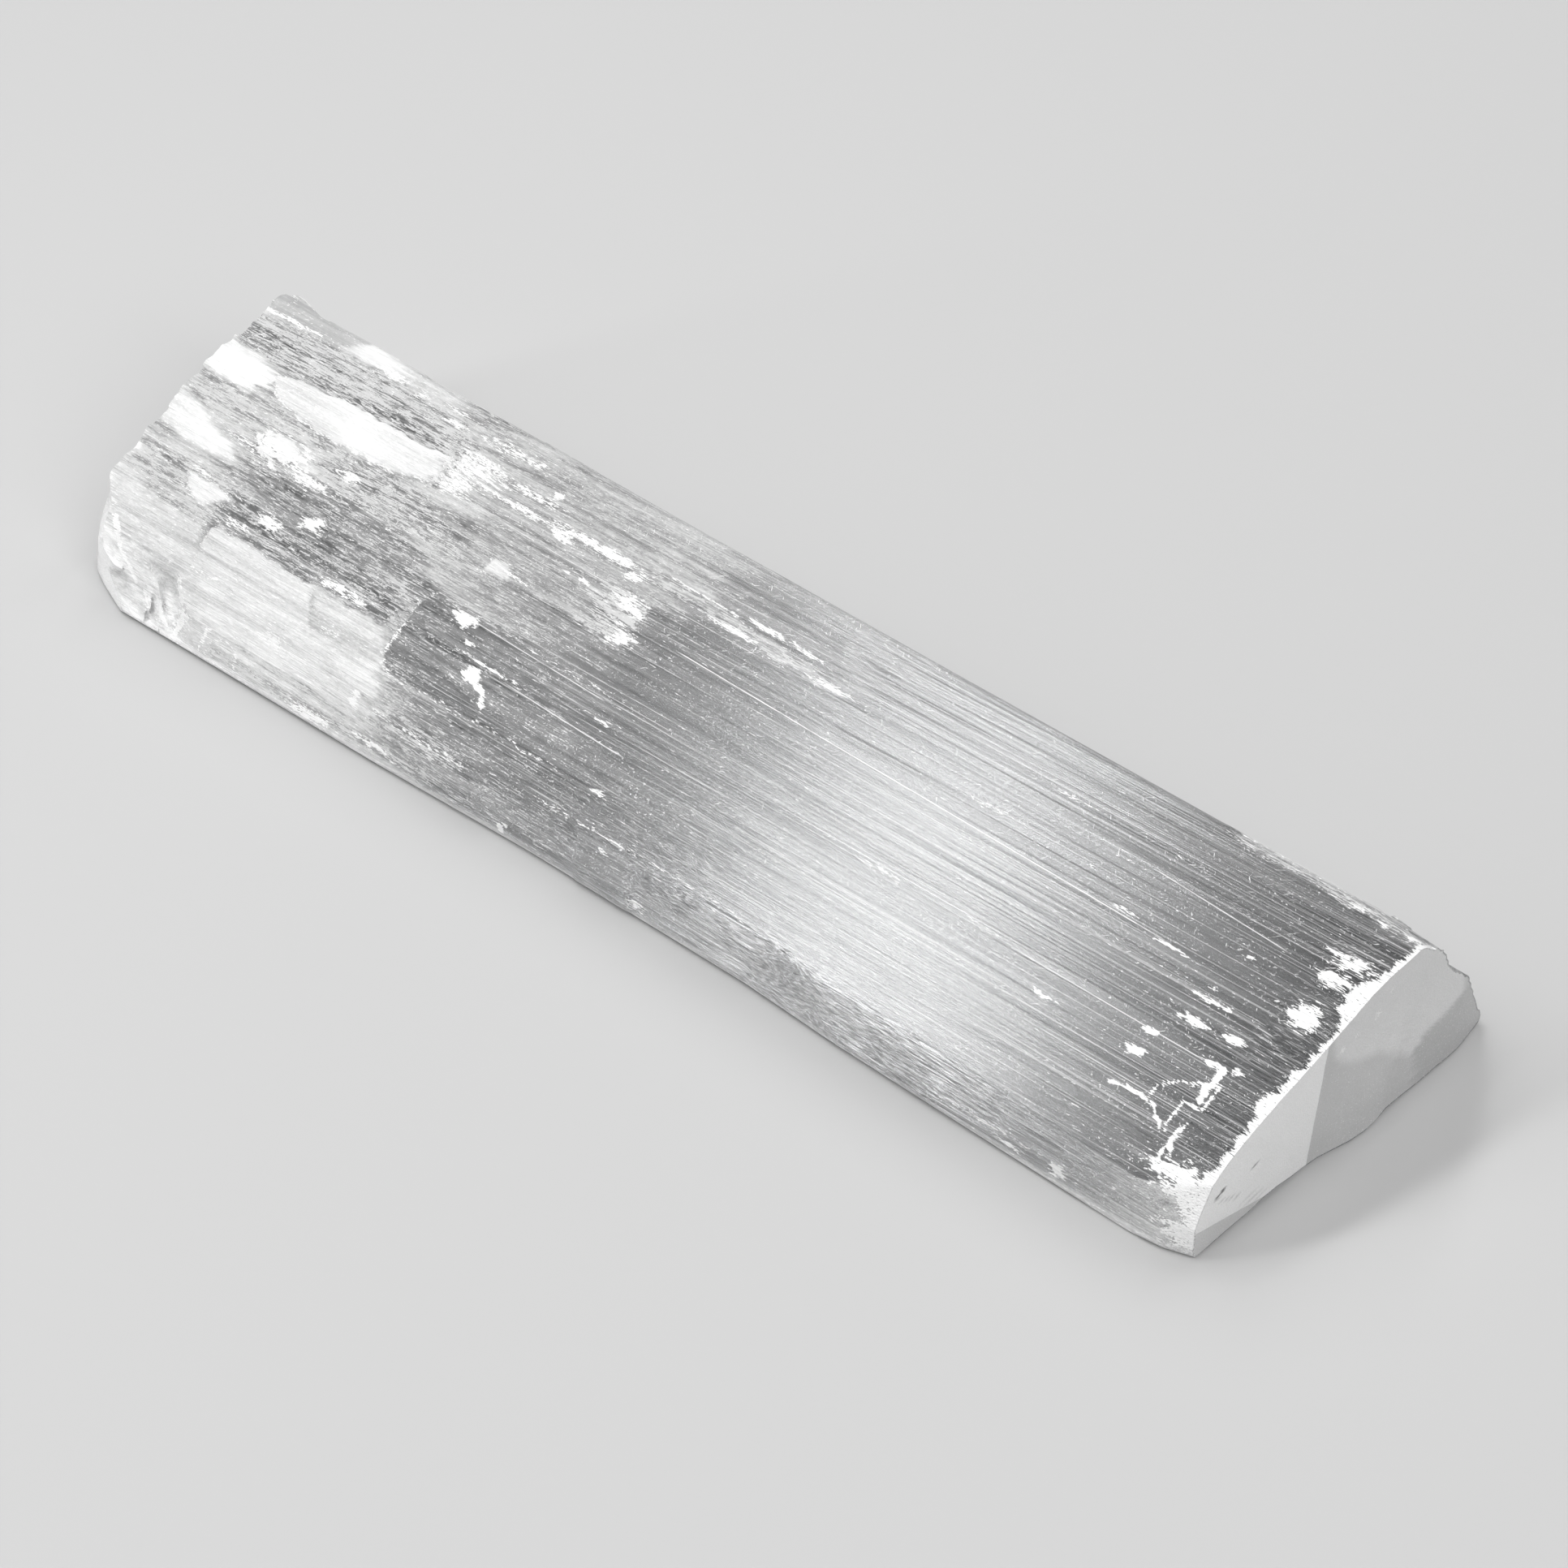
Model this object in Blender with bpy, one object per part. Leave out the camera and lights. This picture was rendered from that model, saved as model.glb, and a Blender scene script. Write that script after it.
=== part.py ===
"""Selenite crystal blade: one broken length of fibrous gypsum (satin spar) that lies on its flat underside.

X runs along the fibres, Y across the blade from the low front edge to the high back one, Z up.
The origin is on the surface that the blade rests on, under the middle of its outline.
"""

import math

import bpy
from mathutils import Vector, noise

MM = 0.001

# The blade's overall size
LENGTH = 228 * MM
WIDTH = 63.8 * MM
CREST_HEIGHT = 23.5 * MM

# Cross-sections, front to back: each point is (distance behind the front corner, height) in mm.
# Each has the same 14 points, so that a straight rail runs along the blade through each of them.
RAILS = (
    "front_foot", "rim", "strip_line", "crease", "shoulder", "brow", "swell",
    "upper", "crest", "lip", "knee", "flank", "heel", "back_foot",
)
SLOPED_FRONT = (
    (0.3, 0.0), (-0.4, 1.1), (2.2, 5.0), (5.4, 9.6), (9.4, 14.4), (17.0, 17.3), (28.0, 20.4),
    (38.5, 22.4), (46.0, 23.4), (48.4, 21.8), (56.0, 12.6), (60.6, 4.6), (61.7, 1.1), (60.4, 0.0),
)
ROUND_FRONT = (
    (0.3, 0.0), (-0.3, 1.0), (-0.2, 3.2), (1.8, 7.8), (6.3, 12.2), (15.0, 16.4), (26.5, 20.0),
    (37.0, 22.2), (46.8, 23.1), (48.6, 21.3), (55.6, 12.4), (60.2, 4.4), (61.5, 1.0), (60.6, 0.0),
)
STRIP_FRONT = (
    (0.3, 0.0), (-0.4, 1.2), (0.2, 6.3), (0.9, 9.1), (6.0, 12.7), (14.5, 16.2), (26.0, 19.7),
    (36.0, 21.8), (46.6, 22.8), (48.8, 21.1), (55.0, 12.0), (59.8, 4.2), (61.6, 0.9), (60.8, 0.0),
)
CHIPPED_FRONT = (
    (0.3, 0.0), (-0.4, 1.1), (-0.3, 5.4), (2.4, 10.4), (5.9, 12.9), (13.6, 15.9), (26.0, 18.9),
    (35.8, 21.9), (45.6, 22.8), (48.2, 20.8), (54.8, 12.0), (58.9, 6.0), (61.2, 1.0), (60.7, 0.0),
)
FRONT_CORNER = -30.0 * MM
UPPER_RAILS = ("strip_line", "crease", "shoulder", "brow", "swell", "upper", "crest")
FRONT_RAILS = ("rim", "strip_line")
BACK_RAILS = ("lip", "knee", "flank", "heel")

# Where each cross-section lies, measured back from the right end
SECTIONS = (
    (230 * MM, SLOPED_FRONT),
    (152 * MM, SLOPED_FRONT),
    (140 * MM, ROUND_FRONT),
    (109 * MM, ROUND_FRONT),
    (96 * MM, STRIP_FRONT),
    (9 * MM, STRIP_FRONT),
    (0 * MM, CHIPPED_FRONT),
)
# The front face bows out: each is (distance from the right end, how far it stands out) in mm
FRONT_BOW = ((230, 1.5), (150, 1.0), (118, 0.1), (77, 0.2), (60, 1.1), (9, 2.2), (4, 1.6), (0, 0.2))
# The crest and the lip behind it lie further back the further they are from the right end
CREST_DRIFT = 0.021
BACK_BULGE = 2.6 * MM
BACK_BULGE_FROM = 208 * MM
BACK_BULGE_TO = 217 * MM

# The right end is one smooth break. Its lower back part swells out behind an upright crease,
# and a slanting step crosses it. Places are distances behind the front corner.
RIGHT_END = 112 * MM
END_SWELL = 1.6 * MM
END_SWELL_FROM = 23 * MM
END_SWELL_TO = 33 * MM
END_SWELL_FULL_BELOW = 2 * MM
END_SWELL_GONE_ABOVE = 17 * MM
END_HEEL = 1.2 * MM
END_HEEL_FROM = 53 * MM
END_HEEL_TO = 62 * MM
END_STEP = 0.5 * MM
END_STEP_AT_TOP = 0.4
END_STEP_FALL = 0.62
END_STEP_FOOT = 36 * MM
END_STEP_WIDTH = 0.8 * MM
END_DISH = 0.18 * MM
END_DISH_WIDTH = 8 * MM
END_DISH_FULL_ABOVE = 20 * MM
END_REACH = 14 * MM

# The left end is torn: it leans back towards its top, and its lower front corner is rounded off
LEFT_END = -104.5 * MM
LEFT_LEAN = 0.34
LEFT_LEAN_BELOW = 16 * MM
LEFT_SKEW = 0.22
LEFT_SKEW_FROM = 10 * MM
LEFT_SKEW_AT_FOOT = 0.3
LEFT_CORNER = 15.5 * MM
LEFT_CORNER_FROM = 9 * MM
LEFT_CORNER_WIDTH = 10 * MM
LEFT_CORNER_POWER = 1.7
LEFT_SCALLOP = 1.3 * MM
LEFT_SCALLOP_SIZE = (7 * MM, 6 * MM)
LEFT_TEETH = 0.5 * MM
LEFT_TEETH_SIZE = (2.2 * MM, 3 * MM)
LEFT_REACH = 34 * MM

# Steps in the upper faces, where sheets of fibres have split off or still stand.
# Each: from and to along the blade (back from the right end), from and to across it, height at
# its left and at its right end. All in mm; a negative height is a sheet that is gone.
LEDGES = {
    "slab_on_the_front_slope": (196, 150, 0.0, 9.6, 0.9, 0.1),
    "trough_behind_the_slab": (214, 160, 10.2, 15.6, -0.9, -0.5),
    "flake_in_the_trough": (203, 197, 11.5, 15.0, 0.8, 0.7),
    "long_white_splinter": (207, 161, 34.6, 39.6, 0.5, 1.1),
    "trough_by_the_splinter": (214, 166, 40.4, 45.2, -0.7, -0.4),
    "low_sheet_at_the_left": (190, 172, 19.5, 33.4, -0.6, -0.5),
    "plate_in_the_middle": (154, 112, 6.5, 17.4, 0.8, 0.0),
    "small_plate": (153, 147, 24.6, 27.8, 0.45, 0.3),
    "torn_patch": (134, 122, 27.0, 32.8, -0.3, -0.6),
    "ridge_by_the_patch": (128, 96, 35.0, 37.4, 0.45, 0.1),
    "chip_on_the_end_edge": (5, 0, 23.0, 33.0, -0.5, -1.3),
    "chip_near_the_corner": (4.5, 0, 9.5, 15.0, -0.3, -0.9),
    "chips_on_the_back_edge": (31, 19, 44.5, 50.0, -0.5, -0.6),
    "chip_by_the_back_corner": (12, 5, 45.0, 50.0, -0.6, -0.4),
}
LEDGE_WANDER = 0.5 * MM
LEDGE_WANDER_LENGTH = 9 * MM
# Steps low on the front, where the strip under the crease breaks off
FRONT_STEPS = {
    "block": (109, 97.5, 0.7, 0.4),
    "rim_at_the_corner": (9, 4.5, 0.4, 0.2),
}
KNOB = (196 * MM, 25.8 * MM)
KNOB_RADIUS = 3.4 * MM
KNOB_HEIGHT = 1.3 * MM

# Bundles of fibres: long low ridges. Each size is (across the fibres, along them).
BUNDLE_HEIGHT = 0.32 * MM
BUNDLE_SIZE = (3.1 * MM, 85 * MM)
MOST_RISE = 1.4 * MM
# Sheets torn off the upper faces towards the left end, in steps of a third of the height
SHEET_HEIGHT = 0.55 * MM
SHEET_STEPS = 3
SHEET_SIZE = (4.5 * MM, 24 * MM)
TORN_FROM = 175 * MM
TORN_TO = 140 * MM
# Fibrous ledges on the steep back
BACK_LEDGE_HEIGHT = 0.65 * MM
BACK_LEDGE_STEPS = 2.4
BACK_LEDGE_SIZE = (4.2 * MM, 60 * MM)
# The low front edge is a little wavy
EDGE_WAVE = 0.3 * MM
EDGE_WAVE_SIZE = (9 * MM, 11 * MM)
# The underside is flat under the middle, with shallow hollows along the fibres round it
FLAT_LENGTH = 130 * MM
FLAT_WIDTH = 30 * MM
FLAT_BORDER = 4 * MM
HOLLOW_DEPTH = 2.2 * MM
HOLLOW_SIZE = (9 * MM, 70 * MM)

# Fineness of the mesh: rings along the blade, and strips from each rail to the next
RING_SPACING = 4.0 * MM
STEP_WALL = 0.35 * MM
CLEAR_OF_A_WALL = 0.9 * MM
STRIPS = (1, 2, 2, 4, 5, 6, 6, 5, 2, 4, 3, 1, 1, 7)
CAP_RINGS = 5

COLOUR = (0.72, 0.73, 0.74, 1.0)
ROUGHNESS = 0.38


def smooth(low, high, value):
    """0 below low, 1 above high, and an even curve between them."""
    t = min(1.0, max(0.0, (value - low) / (high - low)))
    return t * t * (3 - 2 * t)


def grain(across, along_fibres, size, seed):
    """Uneven bumps, about -1 to 1, this wide across the fibres and this long along them."""
    return noise.noise(Vector((across / size[0], along_fibres / size[1], seed)))


def back_from_end(x):
    return RIGHT_END - x


def front_bow(back):
    for (far, left), (near, right) in zip(FRONT_BOW, FRONT_BOW[1:]):
        if near * MM <= back <= far * MM:
            return MM * (left + (right - left) * (far * MM - back) / ((far - near) * MM))
    return MM * FRONT_BOW[0 if back > 0 else -1][1]


def rail_points(x):
    """The 14 corners of the cross-section at x, as (y, z) in metres."""
    back = back_from_end(x)
    for (far, left), (near, right) in zip(SECTIONS, SECTIONS[1:]):
        if near <= back <= far:
            break
    else:
        far, left = SECTIONS[0] if back > SECTIONS[0][0] else SECTIONS[-1]
        near, right = far - LENGTH, left
    t = min(1.0, max(0.0, (far - back) / (far - near)))
    points = []
    for name, (y0, z0), (y1, z1) in zip(RAILS, left, right):
        y = FRONT_CORNER + MM * (y0 + (y1 - y0) * t)
        if name in ("crest", "lip"):
            y += CREST_DRIFT * max(0.0, back)
        if name == "lip":
            y += BACK_BULGE * smooth(BACK_BULGE_FROM, BACK_BULGE_TO, back)
        if name in ("front_foot", "rim", "strip_line", "crease"):
            y -= front_bow(back)
        points.append((y, MM * (z0 + (z1 - z0) * t)))
    return points


def section(x):
    """The cross-section at x cut into strips: (y, z, outward normal, rail index) for each corner."""
    corners = rail_points(x)
    found = []
    for rail, strips in enumerate(STRIPS):
        y0, z0 = corners[rail]
        y1, z1 = corners[(rail + 1) % len(corners)]
        run = math.hypot(y1 - y0, z1 - z0)
        out = (-(z1 - z0) / run, (y1 - y0) / run)
        for strip in range(strips):
            t = strip / strips
            found.append((y0 + (y1 - y0) * t, z0 + (z1 - z0) * t, out, rail))
    return found


def right_break(y, z):
    """How far the right end stands out from its plane."""
    front = y - FRONT_CORNER
    swell = END_SWELL * smooth(END_SWELL_FROM, END_SWELL_TO, front)
    swell -= END_HEEL * smooth(END_HEEL_FROM, END_HEEL_TO, front)
    low = 1 - smooth(END_SWELL_FULL_BELOW, END_SWELL_GONE_ABOVE, z)
    across = front - END_STEP_FOOT - END_STEP_FALL * z
    step = END_STEP * smooth(-END_STEP_WIDTH, END_STEP_WIDTH, across)
    step *= END_STEP_AT_TOP + (1 - END_STEP_AT_TOP) * low
    dish = END_DISH * math.sin(front / END_DISH_WIDTH) * smooth(0, END_DISH_FULL_ABOVE, z)
    return swell * low - step + dish


def left_break(y, z):
    """How far the left end stands out to the left of its plane."""
    front = y - FRONT_CORNER
    lean = LEFT_LEAN * max(0.0, LEFT_LEAN_BELOW - z)
    skew = LEFT_SKEW * (front - LEFT_SKEW_FROM)
    skew *= LEFT_SKEW_AT_FOOT + (1 - LEFT_SKEW_AT_FOOT) * z / CREST_HEIGHT
    corner = max(0.0, (LEFT_CORNER_FROM - front) / LEFT_CORNER_WIDTH) ** LEFT_CORNER_POWER
    scallop = LEFT_SCALLOP * grain(y, z, LEFT_SCALLOP_SIZE, 3.7)
    teeth = LEFT_TEETH * grain(y, z, LEFT_TEETH_SIZE, 8.1)
    return lean + skew - LEFT_CORNER * corner + scallop + teeth


def along(x, y, z):
    """Where a point of the ring at x really lies along the blade, near the broken ends."""
    right = 1 - smooth(0, END_REACH, back_from_end(x))
    left = 1 - smooth(0, LEFT_REACH, x - LEFT_END)
    return x + right * right_break(y, z) - left * left_break(y, z)


def in_ledge(back, front, ledge):
    """Height of a ledge at a place on the upper faces, 0 outside it."""
    far, near, y0, y1, left_height, right_height = ledge
    if not near * MM <= back <= far * MM:
        return 0.0
    wander = LEDGE_WANDER * grain(y0 * MM, back, (MM, LEDGE_WANDER_LENGTH), 1.3)
    if not y0 * MM <= front + wander <= y1 * MM:
        return 0.0
    t = (far * MM - back) / ((far - near) * MM)
    return MM * (left_height + (right_height - left_height) * t)


def relief(x, y, z, rail):
    """How far the surface stands out from the straight rails."""
    back = back_from_end(x)
    front = y - FRONT_CORNER
    name = RAILS[rail]
    if name == "front_foot":
        return 0.0
    if name == "back_foot":
        past_the_flat = max(abs(x) - FLAT_LENGTH / 2, abs(y) - FLAT_WIDTH / 2)
        hollow = max(0.0, grain(y, x, HOLLOW_SIZE, 9.4))
        return -HOLLOW_DEPTH * hollow * smooth(0, FLAT_BORDER, past_the_flat)
    height = BUNDLE_HEIGHT * grain(front + z, x, BUNDLE_SIZE, 0.4)
    if name in BACK_RAILS:
        height += BACK_LEDGE_HEIGHT * round(BACK_LEDGE_STEPS * grain(z, x, BACK_LEDGE_SIZE, 5.2))
    if name in FRONT_RAILS:
        height += EDGE_WAVE * grain(z, x, EDGE_WAVE_SIZE, 2.2)
        for far, near, left_height, right_height in FRONT_STEPS.values():
            if near * MM <= back <= far * MM:
                share = (far * MM - back) / ((far - near) * MM)
                height += MM * (left_height + (right_height - left_height) * share)
    if name in UPPER_RAILS:
        torn = smooth(TORN_TO, TORN_FROM, back)
        sheet = round(SHEET_STEPS * grain(front, x, SHEET_SIZE, 6.6)) / SHEET_STEPS
        height += SHEET_HEIGHT * torn * sheet
        for ledge in LEDGES.values():
            height += in_ledge(back, front, ledge)
        away = math.hypot(back - KNOB[0], front - KNOB[1]) / KNOB_RADIUS
        if away < 1:
            height += KNOB_HEIGHT * (1 - away * away)
    return height


def surface_point(x, y, z, out, rail):
    height = min(MOST_RISE, relief(x, y, z, rail))
    py = min(WIDTH / 2, max(-WIDTH / 2, y + out[0] * height))
    pz = min(CREST_HEIGHT, max(0.0, z + out[1] * height))
    return along(x, py, pz), py, pz


def ring_places():
    """Where the rings lie: evenly spaced, with a close pair at each step's wall."""
    count = round(LENGTH / RING_SPACING)
    span = RIGHT_END - LEFT_END
    places = [LEFT_END + span * i / count for i in range(count + 1)]
    walls = set()
    for far, near, *rest in list(LEDGES.values()) + list(FRONT_STEPS.values()):
        walls.update((far, near))
    for wall in sorted(walls):
        x = RIGHT_END - wall * MM
        if LEFT_END + CLEAR_OF_A_WALL < x < RIGHT_END - CLEAR_OF_A_WALL:
            places = [p for p in places if abs(p - x) > CLEAR_OF_A_WALL]
            places += [x - STEP_WALL / 2, x + STEP_WALL / 2]
    return sorted(places)


def cap(vertices, faces, ring, end_break, plane, sign):
    """Closes an end with rings that shrink towards its middle, each on the broken surface."""
    edge = [vertices[i] for i in ring]
    centre_y = sum(p[1] for p in edge) / len(edge)
    centre_z = sum(p[2] for p in edge) / len(edge)
    outer = ring
    for step in range(1, CAP_RINGS):
        scale = 1 - step / CAP_RINGS
        inner = []
        for x, y, z in edge:
            cy = centre_y + (y - centre_y) * scale
            cz = centre_z + (z - centre_z) * scale
            inner.append(len(vertices))
            vertices.append((plane + sign * end_break(cy, cz), cy, cz))
        join_rings(faces, outer, inner, sign)
        outer = inner
    middle = len(vertices)
    vertices.append((plane + sign * end_break(centre_y, centre_z), centre_y, centre_z))
    for i, first in enumerate(outer):
        second = outer[(i + 1) % len(outer)]
        faces.append((first, second, middle) if sign < 0 else (second, first, middle))


def join_rings(faces, first, second, sign):
    count = len(first)
    for i in range(count):
        k = (i + 1) % count
        quad = (first[i], first[k], second[k], second[i])
        faces.append(quad if sign < 0 else quad[::-1])


def centred(vertices):
    """The same points, moved so that the origin is under the middle of their outline."""
    middle = [(min(axis) + max(axis)) / 2 for axis in zip(*vertices)]
    return [(x - middle[0], y - middle[1], z) for x, y, z in vertices]


def blade_mesh():
    vertices, faces, rings = [], [], []
    for x in ring_places():
        start = len(vertices)
        for y, z, out, rail in section(x):
            vertices.append(surface_point(x, y, z, out, rail))
        rings.append(list(range(start, len(vertices))))
    for left, right in zip(rings, rings[1:]):
        join_rings(faces, right, left, -1)
    cap(vertices, faces, rings[0], left_break, LEFT_END, -1)
    cap(vertices, faces, rings[-1], right_break, RIGHT_END, 1)
    mesh = bpy.data.meshes.new("selenite_blade")
    mesh.from_pydata(centred(vertices), [], faces)
    mesh.validate()
    return mesh


def satin_spar():
    material = bpy.data.materials.new("satin_spar")
    material.use_nodes = True
    shader = material.node_tree.nodes["Principled BSDF"]
    shader.inputs["Base Color"].default_value = COLOUR
    shader.inputs["Roughness"].default_value = ROUGHNESS
    shader.inputs["Metallic"].default_value = 0.0
    return material


for old in list(bpy.data.objects):
    bpy.data.objects.remove(old)

blade = bpy.data.objects.new("selenite_blade", blade_mesh())
blade.data.materials.append(satin_spar())
bpy.context.scene.collection.objects.link(blade)
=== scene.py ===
"""Selenite crystal blade: the finished look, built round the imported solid."""

import math

import bpy
from mathutils import Matrix, Vector, noise


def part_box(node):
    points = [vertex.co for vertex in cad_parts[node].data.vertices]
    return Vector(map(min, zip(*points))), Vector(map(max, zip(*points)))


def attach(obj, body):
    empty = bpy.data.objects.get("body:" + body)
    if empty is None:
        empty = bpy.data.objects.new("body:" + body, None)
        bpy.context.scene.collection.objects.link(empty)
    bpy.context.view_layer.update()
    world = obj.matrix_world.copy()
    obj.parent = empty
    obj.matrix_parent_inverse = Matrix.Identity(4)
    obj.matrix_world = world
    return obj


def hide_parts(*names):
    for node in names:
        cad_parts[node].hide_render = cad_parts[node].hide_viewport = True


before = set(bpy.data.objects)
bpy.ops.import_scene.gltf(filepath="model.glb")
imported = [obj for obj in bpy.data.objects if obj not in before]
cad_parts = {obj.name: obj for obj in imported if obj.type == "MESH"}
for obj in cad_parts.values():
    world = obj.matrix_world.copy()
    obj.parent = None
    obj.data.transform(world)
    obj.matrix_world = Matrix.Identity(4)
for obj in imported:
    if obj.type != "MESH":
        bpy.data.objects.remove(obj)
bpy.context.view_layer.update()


# The blade: one broken length of satin spar, a mass of parallel gypsum fibres along X.
# Its top slopes down to a low front face, both ends are broken across the fibres, and the
# left third has lost sheets of fibres, so that it is stepped, torn and bruised white.
# Places are in mm: back is measured from the right end, front from the low front corner.
MM = 0.001
RIGHT_END = 112.0
LEFT_END = -104.5
FRONT_CORNER = -30.0
LOW, HIGH = [[value / MM for value in corner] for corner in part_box("selenite_blade")]

RAILS = (
    "front_foot", "rim", "strip_line", "crease", "shoulder", "brow", "swell",
    "upper", "crest", "lip", "knee", "flank", "heel", "back_foot",
)
SLOPED_FRONT = (
    (0.3, 0.0), (-0.4, 1.1), (2.2, 5.0), (5.4, 9.6), (9.4, 14.4), (17.0, 17.3), (28.0, 20.4),
    (38.5, 22.4), (46.0, 23.4), (48.4, 21.8), (56.0, 12.6), (60.6, 4.6), (61.7, 1.1), (60.4, 0.0),
)
ROUND_FRONT = (
    (0.3, 0.0), (-0.3, 1.0), (-0.2, 3.2), (1.8, 7.8), (6.3, 12.2), (15.0, 16.4), (26.5, 20.0),
    (37.0, 22.2), (46.8, 23.1), (48.6, 21.3), (55.6, 12.4), (60.2, 4.4), (61.5, 1.0), (60.6, 0.0),
)
STRIP_FRONT = (
    (0.3, 0.0), (-0.4, 1.2), (0.2, 6.3), (0.9, 9.1), (6.0, 12.7), (14.5, 16.2), (26.0, 19.7),
    (36.0, 21.8), (46.6, 22.8), (48.8, 21.1), (55.0, 12.0), (59.8, 4.2), (61.6, 0.9), (60.8, 0.0),
)
CHIPPED_FRONT = (
    (0.3, 0.0), (-0.4, 1.1), (-0.3, 5.4), (2.4, 10.4), (5.9, 12.9), (13.6, 15.9), (26.0, 18.9),
    (35.8, 21.9), (45.6, 22.8), (48.2, 20.8), (54.8, 12.0), (58.9, 6.0), (61.2, 1.0), (60.7, 0.0),
)
SECTIONS = (
    (230, SLOPED_FRONT), (165, SLOPED_FRONT), (132, ROUND_FRONT), (115, ROUND_FRONT),
    (85, STRIP_FRONT), (9, STRIP_FRONT), (0, CHIPPED_FRONT),
)
FRONT_BOW = ((230, 1.5), (150, 1.0), (118, 0.1), (77, 0.2), (60, 1.1), (9, 2.2), (4, 1.6), (0, 0.2))
CREST_DRIFT = 0.021
BACK_BULGE, BACK_BULGE_FROM, BACK_BULGE_TO = 2.6, 208, 217
# How far from each rail its corner starts to round, and the strips from it to the next rail
ROUNDING = (0.3, 0.8, 1.0, 0.8, 2.6, 4.0, 5.0, 4.0, 1.0, 0.8, 3.5, 2.5, 0.8, 0.3)
STRIPS = (3, 14, 12, 22, 32, 42, 40, 36, 11, 28, 20, 8, 4, 22)

UPPER = ("strip_line", "crease", "shoulder", "brow", "swell", "upper", "crest")
FRONT_FACE = ("rim", "strip_line")
BACK_FACE = ("lip", "knee", "flank", "heel")


def smooth(low, high, value):
    """0 below low, 1 above high, and an even curve between them."""
    t = min(1.0, max(0.0, (value - low) / (high - low)))
    return t * t * (3 - 2 * t)


def between(stops, place):
    """The value at a place along (place, value) stops, which run from high places to low."""
    for (far, left), (near, right) in zip(stops, stops[1:]):
        if near <= place <= far:
            return left + (right - left) * (far - place) / (far - near)
    return stops[0][1] if place > stops[0][0] else stops[-1][1]


def grain(across, along_fibres, size, seed):
    """Uneven bumps, about -1 to 1, this wide across the fibres and this long along them."""
    return noise.noise(Vector((across / size[0], along_fibres / size[1], seed)))


def fibre(x, y, z, width, length, seed):
    """The same for fibres that run through the stone, so that any cut along them is streaked."""
    return noise.noise(Vector((y / width + seed, z / width - seed, x / length + seed)))


def rail_points(back):
    """The 14 corners of the cross-section there, as (y, z)."""
    for (far, left), (near, right) in zip(SECTIONS, SECTIONS[1:]):
        if near <= back <= far:
            break
    t = min(1.0, max(0.0, (far - back) / (far - near)))
    points = []
    for name, (y0, z0), (y1, z1) in zip(RAILS, left, right):
        y = FRONT_CORNER + y0 + (y1 - y0) * t
        if name in ("crest", "lip"):
            y += CREST_DRIFT * max(0.0, back)
        if name == "lip":
            y += BACK_BULGE * smooth(BACK_BULGE_FROM, BACK_BULGE_TO, back)
        if name in ("front_foot", "rim", "strip_line", "crease"):
            y -= between(FRONT_BOW, back)
        points.append((y, z0 + (z1 - z0) * t))
    return points


def section(back):
    """The cross-section with rounded corners: (y, z, outward normal, name of the rail before it)."""
    corners = [Vector(point) for point in rail_points(back)]
    count = len(corners)
    found = []
    for rail, strips in enumerate(STRIPS):
        start, end = corners[rail], corners[(rail + 1) % count]
        run = (end - start).length
        ahead = (end - start) / run
        behind = (start - corners[rail - 1]).normalized()
        beyond = (corners[(rail + 2) % count] - end).normalized()
        first = min(ROUNDING[rail], run / 2)
        last = min(ROUNDING[(rail + 1) % count], run / 2)
        for strip in range(strips):
            reach = run * strip / strips
            if reach < first:
                t = 0.5 + 0.5 * reach / first
                corner, into, out_of, radius = start, behind, ahead, first
            elif run - reach < last:
                t = 0.5 - 0.5 * (run - reach) / last
                corner, into, out_of, radius = end, ahead, beyond, last
            else:
                point = start + ahead * reach
                found.append((point.x, point.y, (-ahead.y, ahead.x), RAILS[rail]))
                continue
            point = corner - into * (radius * (1 - t) ** 2) + out_of * (radius * t ** 2)
            along_it = (into * (1 - t) + out_of * t).normalized()
            found.append((point.x, point.y, (-along_it.y, along_it.x), RAILS[rail]))
    return found


def near_path(path, u, v, closed):
    """How far a place is from the nearest point of a path: below 0 inside a closed one."""
    nearest, inside = 1e9, False
    for (u0, v0), (u1, v1) in zip(path, path[1:] + path[:1] if closed else path[1:]):
        du, dv = u1 - u0, v1 - v0
        t = min(1.0, max(0.0, ((u - u0) * du + (v - v0) * dv) / (du * du + dv * dv)))
        nearest = min(nearest, math.hypot(u - u0 - t * du, v - v0 - t * dv))
        if (v0 > v) != (v1 > v) and u < u0 + (v - v0) * du / dv:
            inside = not inside
    return -nearest if closed and inside else nearest


# The right end is one smooth break with an upright crease and a slanting step
END_SWELL, END_SWELL_FROM, END_SWELL_TO = 1.6, 23, 33
END_HEEL, END_HEEL_FROM, END_HEEL_TO = 1.2, 53, 62
END_STEP, END_STEP_FALL, END_STEP_FOOT, END_STEP_WIDTH = 0.5, 0.62, 36, 0.8
END_STEP_AT_TOP = 0.4
END_DISH, END_DISH_WIDTH = 0.18, 8
END_REACH = 14
# The parts of that break, each painted lighter or darker as the light falls on its facet: how white each is,
# its soft border and its corners as (front, height)
END_FACET_LIGHT_AND_SHADE = {
    "upper_back": (
        1.3, 0.9,
        ((26, 24), (27, 15.5), (31, 12.5), (36.2, 11), (43.7, 5.7), (46.5, 7.6), (55.2, 9), (57, 24)),
    ),
    "lower_back": (
        0.83, 0.25,
        ((43.7, 5.7), (46.5, 7.6), (55.2, 9), (58, 10), (66, 8), (66, -1), (45, -1)),
    ),
}
END_WHITE = 1.0
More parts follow.
